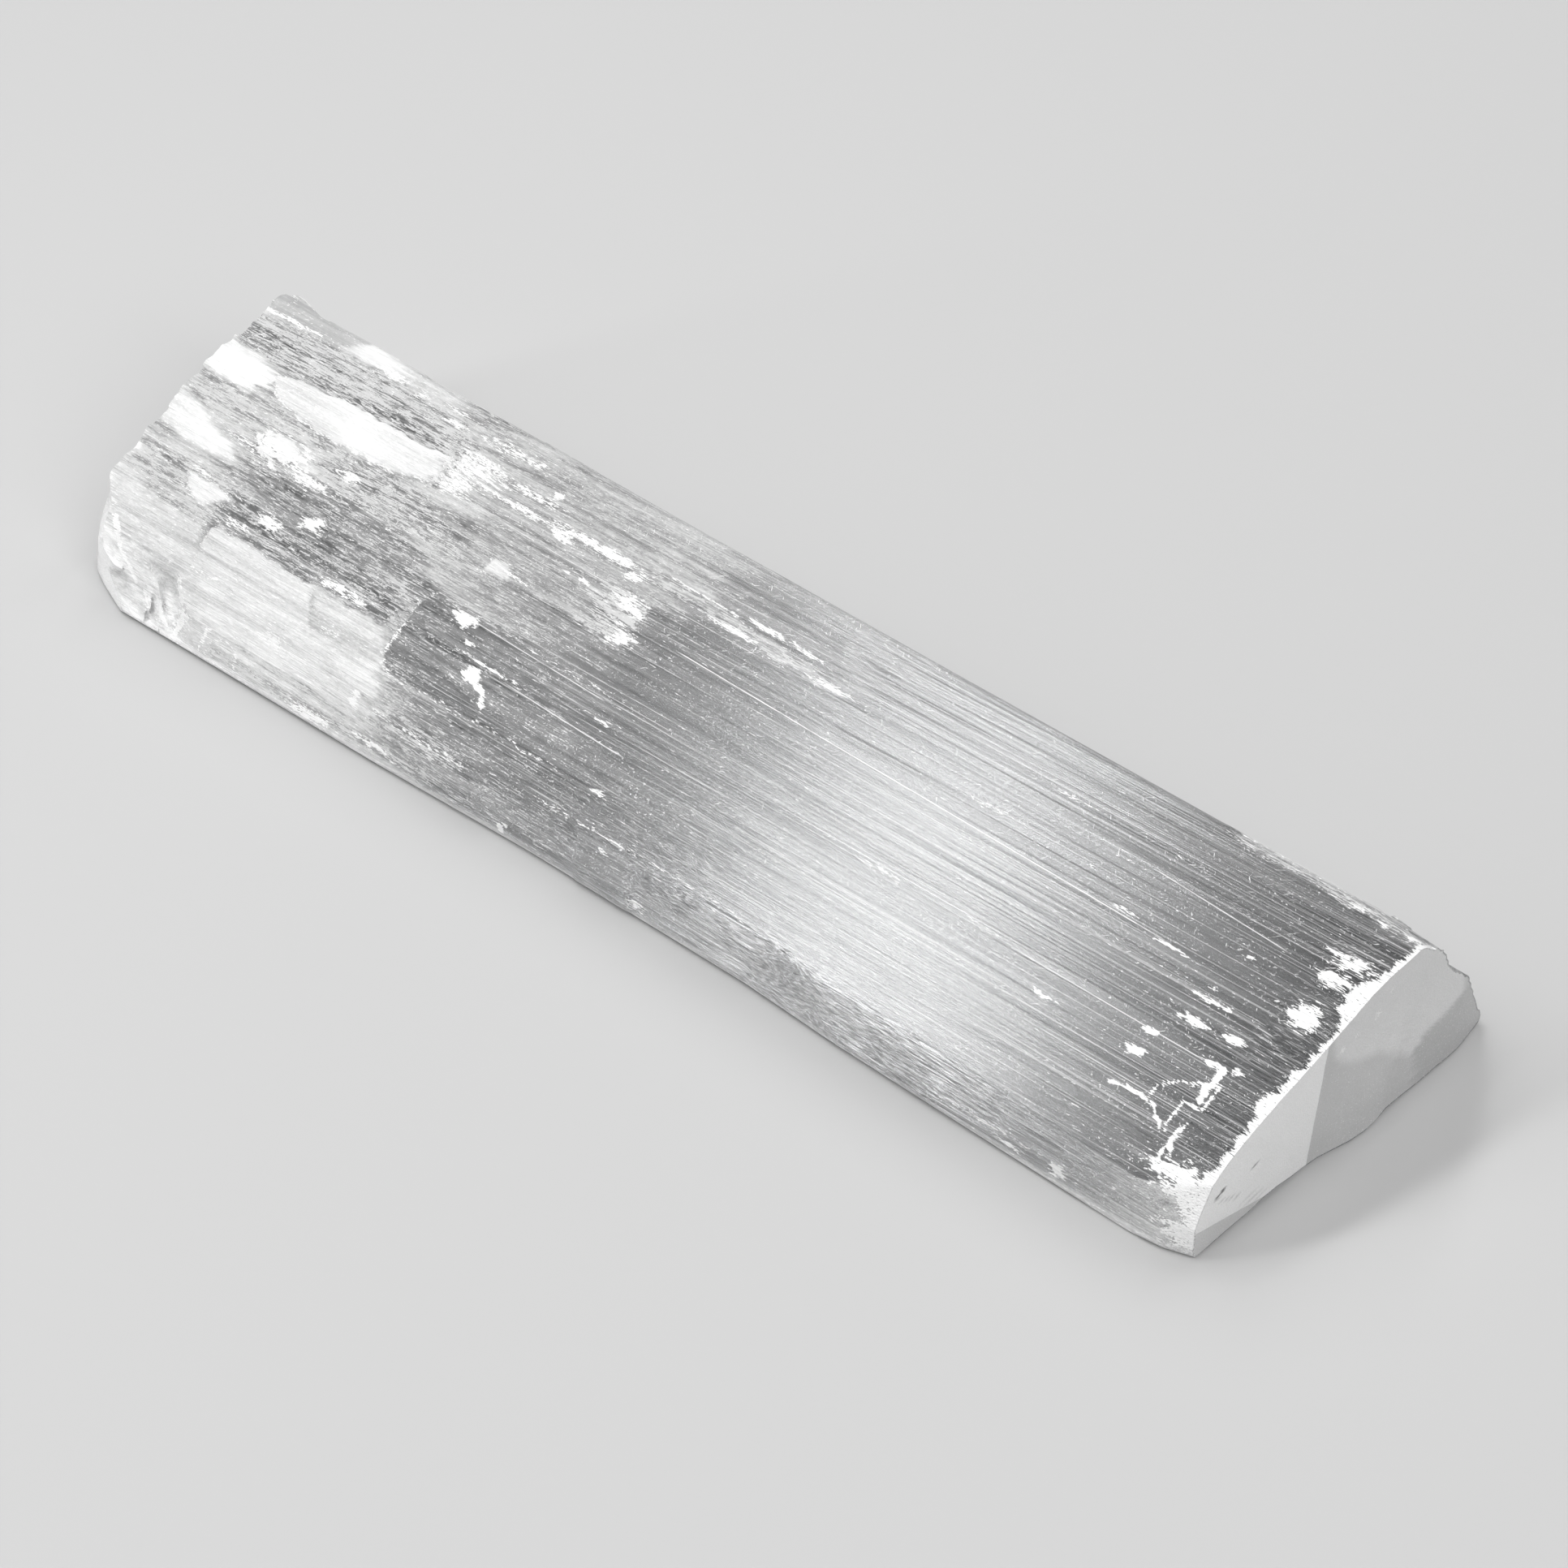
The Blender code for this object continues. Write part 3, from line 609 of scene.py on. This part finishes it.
def marks_near(back, bruises, cracks):
    """The bruises and cracks that the ring at this place can meet."""
    return (
        [mark for mark in bruises.values() if abs(back - mark[0]) < 1.5 * mark[1] + 1.6 * mark[5] + 0.5],
        [crack for crack in cracks.values()
         if min(u for u, v in crack[2]) - 1 < back < max(u for u, v in crack[2]) + 1],
    )


# The relief: how high each kind stands or in how many steps, and how wide and long its shapes are
BUNDLE_HEIGHT, BUNDLE_TORN, BUNDLE_SIZE = 0.05, 2.5, (3.6, 130)
MOST_RISE = 1.4
SHEET_HEIGHT, SHEET_STEPS, SHEET_SIZE = 0.55, 3, (4.5, 24)
TORN_FROM, TORN_TO = 175, 140
BACK_LEDGE_HEIGHT, BACK_LEDGE_STEPS, BACK_LEDGE_SIZE = 0.65, 2.4, (4.2, 60)
EDGE_WAVE, EDGE_WAVE_SIZE = 0.3, (9, 11)
FLAT_LENGTH, FLAT_WIDTH, FLAT_BORDER = 130, 30, 4
HOLLOW_DEPTH, HOLLOW_SIZE = 2.2, (9, 70)
# Fine ridges of fibres: width, length and height of each kind, and the share of it that shows
# where the stone is whole and that is added where it is torn
FINE_RIDGES = ((1.5, 90, 0.09), (0.7, 60, 0.06), (0.35, 40, 0.035))
RIDGES_LEFT, RIDGES_TORN = 0.15, 1.85


def surface(x, y, z, name, marks, front_marks):
    """How far the stone stands out from its plain section there, how white it is bruised, how
    milky it is (with painted light on the back face and along the front's lower edge) and how densely
    streaked."""
    back = RIGHT_END - x
    front = y - FRONT_CORNER
    milk_and_painted_light = between(MILK, back)
    streaked = between(STREAKED, back)
    # The strip that meets the table is painted milky and a little white: a painted bright rim along the
    # lower edge, over its contact shade
    if name == "front_foot":
        return 0.0, 0.3, 0.7, streaked
    if name == "back_foot":
        past_the_flat = max(abs(x) - FLAT_LENGTH / 2, abs(y) - FLAT_WIDTH / 2)
        hollow = max(0.0, grain(y, x, HOLLOW_SIZE, 9.4))
        return -HOLLOW_DEPTH * hollow * smooth(0, FLAT_BORDER, past_the_flat), 0.0, milk_and_painted_light, streaked
    torn = smooth(TORN_TO, TORN_FROM, back)
    height = BUNDLE_HEIGHT * (1 + BUNDLE_TORN * torn) * grain(front + z, x, BUNDLE_SIZE, 0.4)
    for width, length, rise in FINE_RIDGES:
        height += rise * (RIDGES_LEFT + RIDGES_TORN * torn) * fibre(x, y, z, width, length, width)
    white = 0.0
    cloud = noise.noise(Vector((x / 9, front / 5, z / 5)))
    if name in BACK_FACE:
        step = BACK_LEDGE_STEPS * grain(z, x, BACK_LEDGE_SIZE, 5.2) + 0.4 * fibre(x, y, z, 0.9, 8, 7.1)
        below_the_edge = smooth(22, 17, z) * (0.5 + 0.5 * smooth(2, 12, back))
        height += BACK_LEDGE_HEIGHT * round(step) * below_the_edge
        white = 0.9 * abs(step - round(step)) * below_the_edge
        # The back face is painted milkier, in cloudy patches: a painted light for a side that the lamps
        # hardly reach
        milk_and_painted_light += 0.32 + 0.15 * cloud
        streaked += 0.12
        if name == "lip":
            milk_and_painted_light += 0.3 * smooth(20, 22, z)
    if name in FRONT_FACE:
        height += EDGE_WAVE * grain(z, x, EDGE_WAVE_SIZE, 2.2)
        for far, near, left_height, right_height in FRONT_STEPS.values():
            if near <= back <= far:
                height += left_height + (right_height - left_height) * (far - back) / (far - near)
        crumpled = smooth(CRUMPLED_FROM, CRUMPLED_TO, back)
        facet = abs(grain(z + 0.5 * front, x, CRUMPLE_SIZE, 12.6))
        height -= CRUMPLE * crumpled * facet
        rim = crumpled * 0.8 * smooth(0.14, 0.03, facet)
        flake = smooth(0.25, -0.25, near_path(FRONT_FLAKE, back + tooth(back, y, z, 0.5, 1.1), z, True))
        height += FRONT_FLAKE_RISE * flake
        milk_and_painted_light = between(FRONT_MILK, back) + 0.08 * cloud - 0.15 * crumpled * facet
        for middle, reach, centre, half, depth in CHIPS:
            away = math.hypot((back - middle) / reach, (z - centre) / half)
            away += 0.25 * grain(z, x, (1.5, 2.5), depth)
            if away < 1.3:
                height -= depth * smooth(1, 0.2, away)
                rim = max(rim, 1.4 * depth * smooth(0.2, 0.03, abs(away - 1)))
        streaked += 0.06
        # The lowest 2 mm of the front face are painted milkier: a painted bright rim along the lower edge,
        # over its contact shade
        milk_and_painted_light += 0.35 * smooth(2.2, 0.6, z)
        white = max(rim, marks_there(back, z, y, z, *front_marks), 0.75 * flake)
    if name in UPPER:
        milk_and_painted_light += 0.12 * smooth(34, 46, front) * smooth(60, 110, back)
        step = SHEET_STEPS * grain(front, x, SHEET_SIZE, 6.6) + 0.45 * fibre(x, y, z, 0.5, 5, 2.1)
        height += SHEET_HEIGHT * torn * round(step) / SHEET_STEPS
        milk_and_painted_light += torn * 0.3 * cloud
        rise, white, milk_and_painted_light, streaked = sheets_there(back, front, y, z, milk_and_painted_light, streaked)
        milk_and_painted_light += torn * 0.12 * cloud
        height += rise
        ledge = torn * 0.8 * abs(step - round(step)) ** 2
        white = max(white, ledge, marks_there(back, front, y, z, *marks))
        frill = frill_there(back, front, y, z)
        height -= FRILL_SUNK * frill
        white = max(white, frill)
        away = math.hypot((back - KNOB_BACK) / KNOB_LONG, (front - KNOB_FRONT) / KNOB_WIDE)
        if away < 1:
            height += KNOB_HEIGHT * (1 - away * away)
    return min(MOST_RISE, height), white, milk_and_painted_light, streaked


def surface_point(x, y, z, out, name, marks, front_marks):
    """A point of the plain section moved to the stone's surface, inside its box, and its looks."""
    rise, *looks = surface(x, y, z, name, marks, front_marks)
    py = min(HIGH[1], max(LOW[1], y + out[0] * rise))
    pz = min(HIGH[2], max(0.0, z + out[1] * rise))
    px = min(HIGH[0], max(LOW[0], along(x, py, pz)))
    return (px, py, pz), looks


# The gaps between the rings along the blade, and how the rings of an end crowd towards its edge
RING_GAPS = ((217, 0.6), (150, 0.65), (118, 0.9), (100, 1.8), (40, 1.8), (22, 0.55), (0, 0.38))
LAST_GAP = 0.2
END_RING_COUNT, END_RING_CROWDING = 26, 1.3
SHARP_ANGLE = 42


def ring_places():
    """Where the rings lie: close together where the stone is torn, wider apart between."""
    places, x = [], LEFT_END
    while x < RIGHT_END - LAST_GAP:
        places.append(x)
        x += between(RING_GAPS, RIGHT_END - x)
    return places + [RIGHT_END]


def cap(points, faces, looks, ring, end_break, end_looks, plane, sign):
    """Closes an end with rings that shrink towards its middle, each on the broken surface."""
    edge = [points[i] for i in ring]
    centre_y = sum(p[1] for p in edge) / len(edge)
    centre_z = sum(p[2] for p in edge) / len(edge)
    outer = ring
    for step in range(1, END_RING_COUNT):
        scale = 1 - (step / END_RING_COUNT) ** END_RING_CROWDING
        inner = []
        for x, y, z in edge:
            cy = centre_y + (y - centre_y) * scale
            cz = centre_z + (z - centre_z) * scale
            cx = plane + sign * end_break(cy, cz)
            inner.append(len(points))
            points.append((min(HIGH[0], max(LOW[0], cx)), cy, cz))
            looks.append(end_looks(cy, cz))
        join_rings(faces, outer, inner, sign)
        outer = inner
    points.append((plane + sign * end_break(centre_y, centre_z), centre_y, centre_z))
    looks.append(end_looks(centre_y, centre_z))
    for i, first in enumerate(outer):
        second = outer[(i + 1) % len(outer)]
        faces.append((first, second, len(points) - 1)[::-sign])


def join_rings(faces, first, second, sign):
    """Four-sided faces between two rings, turned the right way out for that end."""
    count = len(first)
    for i in range(count):
        k = (i + 1) % count
        faces.append((first[i], first[k], second[k], second[i])[::-sign])


points, faces, rings, looks = [], [], [], []
for x in ring_places():
    start = len(points)
    marks = marks_near(RIGHT_END - x, BRUISES, CRACKS)
    front_marks = marks_near(RIGHT_END - x, FRONT_BRUISES, FRONT_CRACKS)
    for y, z, out, name in section(RIGHT_END - x):
        point, look = surface_point(x, y, z, out, name, marks, front_marks)
        points.append(point)
        looks.append(look)
    rings.append(list(range(start, len(points))))
for left, right in zip(rings, rings[1:]):
    join_rings(faces, right, left, -1)
cap(points, faces, looks, rings[0], left_break, left_looks, LEFT_END, -1)
cap(points, faces, looks, rings[-1], right_break, right_looks, RIGHT_END, 1)

mesh = bpy.data.meshes.new("blade")
mesh.from_pydata([[value * MM for value in point] for point in points], [], faces)
for name, values in zip(("bruise", "milk_and_painted_light", "streaked"), zip(*looks)):
    mesh.attributes.new(name, "FLOAT", "POINT").data.foreach_set("value", values)
# The silky sheen follows this mapping: from its far-off middle, every fibre lies straight ahead
mesh.use_auto_texspace = False
mesh.texspace_location = (-100, 0, 0)
mesh.texspace_size = (1, 1, 1)
mesh.validate()
mesh.shade_smooth()
mesh.set_sharp_from_angle(angle=math.radians(SHARP_ANGLE))
blade = bpy.data.objects.new("blade", mesh)
bpy.context.scene.collection.objects.link(blade)


class Wire:
    """A node's output in a material. Arithmetic on wires adds the Math nodes that it needs."""

    def __init__(self, tree, socket):
        self.tree, self.socket = tree, socket

    @classmethod
    def add(cls, tree, kind, settings=None, inputs=None, output=0):
        """A new node: its settings first, then the values or wires of its sockets."""
        node = tree.nodes.new("ShaderNode" + kind)
        for name, value in (settings or {}).items():
            if name == "stops":
                for stop, (place, shade) in zip(node.color_ramp.elements, value):
                    stop.position, stop.color = place, (shade, shade, shade, 1)
            else:
                setattr(node, name, value)
        for name, value in (inputs or {}).items():
            if isinstance(value, Wire):
                tree.links.new(value.socket, node.inputs[name])
            else:
                node.inputs[name].default_value = value
        return cls(tree, node.outputs[output] if node.outputs else None)

    def math(self, operation, *others):
        inputs = dict(enumerate((self, *others)))
        return Wire.add(self.tree, "Math", {"operation": operation}, inputs)

    def __add__(self, other):
        return self.math("ADD", other)

    __radd__ = __add__

    def __sub__(self, other):
        return self.math("SUBTRACT", other)

    def __rsub__(self, other):
        return Wire.add(self.tree, "Math", {"operation": "SUBTRACT"}, {0: other, 1: self})

    def __mul__(self, other):
        return self.math("MULTIPLY", other)

    __rmul__ = __mul__

    def vector(self, operation, *others, **named):
        inputs = {**dict(enumerate((self, *others))), **named}
        return Wire.add(self.tree, "VectorMath", {"operation": operation}, inputs)

    def larger(self, other):
        return self.math("MAXIMUM", other)

    def between(self, low, high):
        """0 below low, 1 above high, and an even curve between them."""
        limits = {"Value": self, "From Min": low, "From Max": high}
        return Wire.add(self.tree, "MapRange", {"interpolation_type": "SMOOTHSTEP"}, limits)


# Satin spar: half-clear grey gypsum with a silky sheen across its fibres, and white where the
# fibres are bruised or torn. Light that meets it square to the fibres comes back as one band.
satin = bpy.data.materials.new("satin_spar")
satin.use_nodes = True
tree = satin.node_tree
tree.nodes.clear()
stone = Wire.add(tree, "TexCoord", output=3)


def streaks(length, width, seed, detail=2.0, turn=0):
    """Noise from 0 to 1, drawn out along the fibres or turned from them: sizes in mm, degrees."""
    sizes = [size * MM for size in (length, width, width)]
    if turn:
        turned = {"Scale": sizes, "Rotation": (0, 0, math.radians(turn)), "Location": (seed * MM,) * 3}
        place = Wire.add(tree, "Mapping", {"vector_type": "TEXTURE"}, {"Vector": stone, **turned})
    else:
        shift = [-seed * MM / size for size in sizes]
        place = stone.vector("MULTIPLY_ADD", [1 / size for size in sizes], shift)
    spread = {"Vector": place, "Scale": 1.0, "Detail": detail, "Roughness": 0.6}
    return Wire.add(tree, "TexNoise", None, spread)


bruise = Wire.add(tree, "Attribute", {"attribute_name": "bruise"}, output=2)
# This attribute holds painted light and shade as well as milkiness: a lighter back face and lower front
# edge, and lighter or darker facets at the right end
milk_and_painted_light = Wire.add(tree, "Attribute", {"attribute_name": "milk_and_painted_light"}, output=2)
streaked = Wire.add(tree, "Attribute", {"attribute_name": "streaked"}, output=2)
hair = streaks(60, 0.2, 3.1)
bundle = streaks(90, 1.3, 53.7, 1.0)
dash = streaks(2.8, 0.22, 11.3)
fray = streaks(0.8, 0.18, 13.9)
speck = streaks(0.32, 0.28, 17.9, 1.0)
clump = streaks(16, 1.5, 83.1, 1.0)
flake = streaks(3.4, 0.8, 91.7, 1.0)
line = streaks(120, 0.26, 29.1, 1.0)
thread = streaks(150, 0.14, 37.3, 0.0)
needles = streaks(1.6, 0.16, 61.3, 0.0, 38).larger(streaks(1.4, 0.16, 71.9, 0.0, -55))

patchy = (clump - 0.5) * 0.8 + (flake - 0.5) * 0.8
density = streaked * (patchy * 1.1 + 1)
even = dash * 0.5 + fray * 0.25 + speck * 0.15 + hair * 0.1
frayed = even.between(0.68 - density * 0.4, 0.73 - density * 0.4) * (0.26 + streaked * 0.72)
lines = line.between(0.62, 0.72) * (dash.between(0.3, 0.5) * 0.65 + 0.35)
threads = thread.between(0.6, 0.72)
specks = speck.between(0.69, 0.74) * clump.between(0.3, 0.5)
needles = needles.between(0.77, 0.81) * clump.between(0.35, 0.5)
bruised = (bruise + (fray - 0.5) * 2.4 + (dash - 0.5) * 1.2).between(0.42, 0.62)
uneven = (milk_and_painted_light * (1.0 - milk_and_painted_light) * 1.9 + 0.07) * streaked.between(0.0, 0.15)
haze_and_painted_light = milk_and_painted_light + ((hair - 0.5) + (bundle - 0.5) * 1.1 + (fray - 0.5) + patchy * streaked * 1.8) * uneven
facing = Wire.add(tree, "NewGeometry", output=1)
along_fibres = Wire.add(tree, "SeparateXYZ", None, {0: facing})
across_fibres = Wire.add(tree, "SeparateXYZ", None, {0: facing}, 1)

# The right end's upright crease and low front facet are crisp borders between smooth parts. Past the crease
# and on the low facet the haze is painted darker: a painted shade of those facets.
x, y, z = (Wire.add(tree, "SeparateXYZ", None, {0: stone}, axis) for axis in range(3))
CREASE_FOOT, CREASE_SLANT, SHADE_PAST_THE_CREASE = 22.8, 0.137, 0.4
FACET_TOP, FACET_SLANT, SHADE_ON_THE_FACET = 4.15, 0.24, 0.34
CRISP = 0.07
crease = FRONT_CORNER + CREASE_FOOT
facet = FACET_TOP + FRONT_CORNER * FACET_SLANT
past = (y - z * CREASE_SLANT).between((crease - CRISP) * MM, (crease + CRISP) * MM)
low = (z + y * FACET_SLANT).between((facet + CRISP) * MM, (facet - CRISP) * MM)
on_the_end = along_fibres.between(0.6, 0.8)
haze_and_painted_light = haze_and_painted_light * (1 - on_the_end * past * SHADE_PAST_THE_CREASE) * (1 - on_the_end * low * SHADE_ON_THE_FACET)

# Long straight fibres that are bruised white: where each starts and ends, and how white it is
LINES = (
    (118, 28.6, 26, 26.5, 0.85), (37.5, 35.3, 12, 33.8, 0.7), (45, 15.2, 10, 14.9, 0.65),
    (148, 16.9, 118, 16.6, 0.75), (136, 11.8, 109, 11.2, 0.75), (158, 33.2, 124, 32.6, 0.8),
)
LINE_HALF, LINE_SOFT, LINE_FADE = 0.09, 0.06, 3
worn = dash.between(0.3, 0.5) * 0.8 + 1.2
for back0, front0, back1, front1, strength in LINES:
    slant = (front0 - front1) / (back1 - back0)
    level = FRONT_CORNER + front1 - slant * (RIGHT_END - back1)
    away = (y - x * slant - level * MM).math("ABSOLUTE")
    off = (x - (RIGHT_END - (back0 + back1) / 2) * MM).math("ABSOLUTE")
    half = (back0 - back1) / 2
    shown = off.between(half * MM, (half - LINE_FADE) * MM) * strength
    on_it = away.between((LINE_HALF + LINE_SOFT) * MM, (LINE_HALF - LINE_SOFT) * MM)
    lines = lines.larger(on_it * shown * worn)

# The whitest of the marks at a place is the one that shows
THREAD_WHITE, LINE_WHITE, SPECK_WHITE, NEEDLE_WHITE = 0.28, 0.5, 0.8, 0.8
white = haze_and_painted_light.larger(frayed).larger(threads * THREAD_WHITE).larger(lines * LINE_WHITE)
white = white.larger(specks * SPECK_WHITE).larger(needles * NEEDLE_WHITE)
white = white.larger(bruised * (0.8 + fray * 0.3))

# Each fibre leans its own way about its length, and most on the front face, so that the band of
# light shows on every side. A broken end has no fibres along it, so it keeps its own normal.
LEAN, FRONT_LEAN, KEPT_ALONG = 3.0, 4.0, 0.02
most = across_fibres.between(-0.5, -0.9)
lean = (streaks(40, 0.06, 7.7, 0.0) - 0.5) * (LEAN + FRONT_LEAN * most)
leaning = facing.vector("ADD", facing.vector("CROSS_PRODUCT", (1, 0, 0)).vector("SCALE", Scale=lean))
kept = along_fibres.math("ABSOLUTE").between(0.6, 0.9) * (1 - KEPT_ALONG) + KEPT_ALONG
flatter = Wire.add(tree, "CombineXYZ", None, {0: kept, 1: 1.0, 2: 1.0})
fibres = leaning.vector("MULTIPLY", flatter).vector("NORMALIZE")
low_relief = thread * 0.6 + dash * (0.4 + streaked)
rough_relief = Wire.add(tree, "Bump", None, {"Strength": 0.6, "Distance": 0.0004, "Height": low_relief})

# The silky share: everywhere, more in the hairs and most in the threads
SILK, HAIR_SILK, THREAD_SILK = 0.05, 0.012, 0.024
silk = (SILK + HAIR_SILK * hair.between(0.3, 0.7) + THREAD_SILK * threads) * (1 + most)
clear = Wire.add(tree, "BsdfPrincipled", None, {
    "Base Color": (0.87, 0.88, 0.89, 1), "Metallic": silk, "Roughness": 0.24, "IOR": 1.52,
    "Transmission Weight": 1.0, "Anisotropic": 1.0, "Specular IOR Level": 0.8, "Normal": fibres,
})
chalk_shade = Wire.add(tree, "ValToRGB", {"stops": ((0.2, 0.76), (0.8, 0.9))}, {"Fac": dash})
chalk = Wire.add(tree, "BsdfPrincipled", None, {
    "Base Color": chalk_shade, "Roughness": 0.6, "Specular IOR Level": 0.3, "Normal": rough_relief,
})
spar = Wire.add(tree, "MixShader", None, {0: white, 1: clear, 2: chalk})
inside = Wire.add(tree, "VolumeAbsorption", None, {"Color": (0.5, 0.51, 0.52, 1), "Density": 60.0})
Wire.add(tree, "OutputMaterial", None, {"Surface": spar, "Volume": inside})
mesh.materials.append(satin)

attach(blade, "root")
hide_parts("selenite_blade")


# The studio: a plain pale table and even light from all round. An arc of soft strips leans left
# over the bright band, two weaker strips hang over it without a lean, and a broad lamp is on the right.
floor_mesh = bpy.data.meshes.new("floor")
FLOOR_HALF, FLOOR_DROP, FLOOR_GREY = 3.0, 0.0002, 0.5
LIGHT_ALL_ROUND = 0.22
FLOOR_CORNERS = ((-1, -1), (1, -1), (1, 1), (-1, 1))
corners = [(FLOOR_HALF * right, FLOOR_HALF * far, -FLOOR_DROP) for right, far in FLOOR_CORNERS]
floor_mesh.from_pydata(corners, [], [(0, 1, 2, 3)])
floor = bpy.data.objects.new("floor", floor_mesh)
bpy.context.scene.collection.objects.link(floor)
table = bpy.data.materials.new("pale_table")
table.use_nodes = True
shader = table.node_tree.nodes["Principled BSDF"]
shader.inputs["Base Color"].default_value = (FLOOR_GREY, FLOOR_GREY, FLOOR_GREY, 1)
shader.inputs["Roughness"].default_value = 0.9
shader.inputs["Specular IOR Level"].default_value = 0.0
floor_mesh.materials.append(table)

world = bpy.data.worlds.new("studio")
bpy.context.scene.world = world
world.use_nodes = True
world.node_tree.nodes["Background"].inputs["Color"].default_value = (1, 1, 1, 1)
world.node_tree.nodes["Background"].inputs["Strength"].default_value = LIGHT_ALL_ROUND


def softbox(name, place, target, size, power, upright):
    """A rectangular soft lamp whose long side lies along upright."""
    light = bpy.data.lights.new(name, "AREA")
    light.shape = "RECTANGLE"
    light.size, light.size_y = size
    light.energy = power
    lamp = bpy.data.objects.new(name, light)
    lamp.visible_transmission = False
    away = (Vector(place) - Vector(target)).normalized()
    side = Vector(upright).cross(away).normalized()
    up = away.cross(side)
    lamp.matrix_world = Matrix.Translation(place) @ Matrix((side, up, away)).transposed().to_4x4()
    bpy.context.scene.collection.objects.link(lamp)


BAND = Vector((48 * MM, 0, 18 * MM))
# The strips of the arc: degrees from straight up towards the back, length and how far to the left
KEY_LAMPS = ((-84, 0.2, 0.505), (-60, 0.75, 0.487), (-31, 0.5, 0.49), (0, 0.5, 0.512), (34, 0.8, 0.526))
KEY_WIDTH, KEY_POWER = 0.13, 3.6
# Two weaker ones give the views from the front, the top and the back their band
TOP_LAMPS = ((-20, 0.6, 0), (40, 0.7, 0))
TOP_WIDTH, TOP_POWER = 0.25, 2.8
FILL_PLACE, FILL_SIZE, FILL_POWER = (0.9, -0.25, 0.75), (0.7, 0.7), 7


def arc_lamps(kind, lamps, width, power):
    """Soft strips a metre from the band, each lying along the arc. The power is for each metre."""
    for angle, length, to_the_left in lamps:
        swing = math.radians(angle)
        rest = math.sqrt(1 - to_the_left ** 2)
        way = Vector((-to_the_left, rest * math.sin(swing), rest * math.cos(swing)))
        tangent = (0, math.cos(swing), -math.sin(swing))
        softbox(f"{kind} {angle}", BAND + way, BAND, (width, length), power * length, tangent)


arc_lamps("key", KEY_LAMPS, KEY_WIDTH, KEY_POWER)
arc_lamps("top", TOP_LAMPS, TOP_WIDTH, TOP_POWER)
softbox("fill", FILL_PLACE, (0, 0, 0), FILL_SIZE, FILL_POWER, (0, 0, 1))


# The camera looks down on the blade from the front right
TURN = math.radians(42.8)
DROP = math.radians(38)
DISTANCE = 0.6
LOOK_AT = Vector((9.2, 5.7, 0)) * MM
FOCAL_PIXELS = 5180
PHOTO_PIXELS = 1932
SENSOR = 36
camera_data = bpy.data.cameras.new("camera")
camera_data.sensor_width = SENSOR
camera_data.lens = SENSOR * FOCAL_PIXELS / PHOTO_PIXELS
camera_data.clip_start = 0.01
camera = bpy.data.objects.new("camera", camera_data)
ahead = Vector((-math.sin(TURN) * math.cos(DROP), math.cos(TURN) * math.cos(DROP), -math.sin(DROP)))
camera.location = LOOK_AT - ahead * DISTANCE
camera.rotation_euler = ahead.to_track_quat("-Z", "Y").to_euler()
bpy.context.scene.collection.objects.link(camera)
bpy.context.scene.camera = camera
bpy.context.scene.view_settings.view_transform = "Standard"
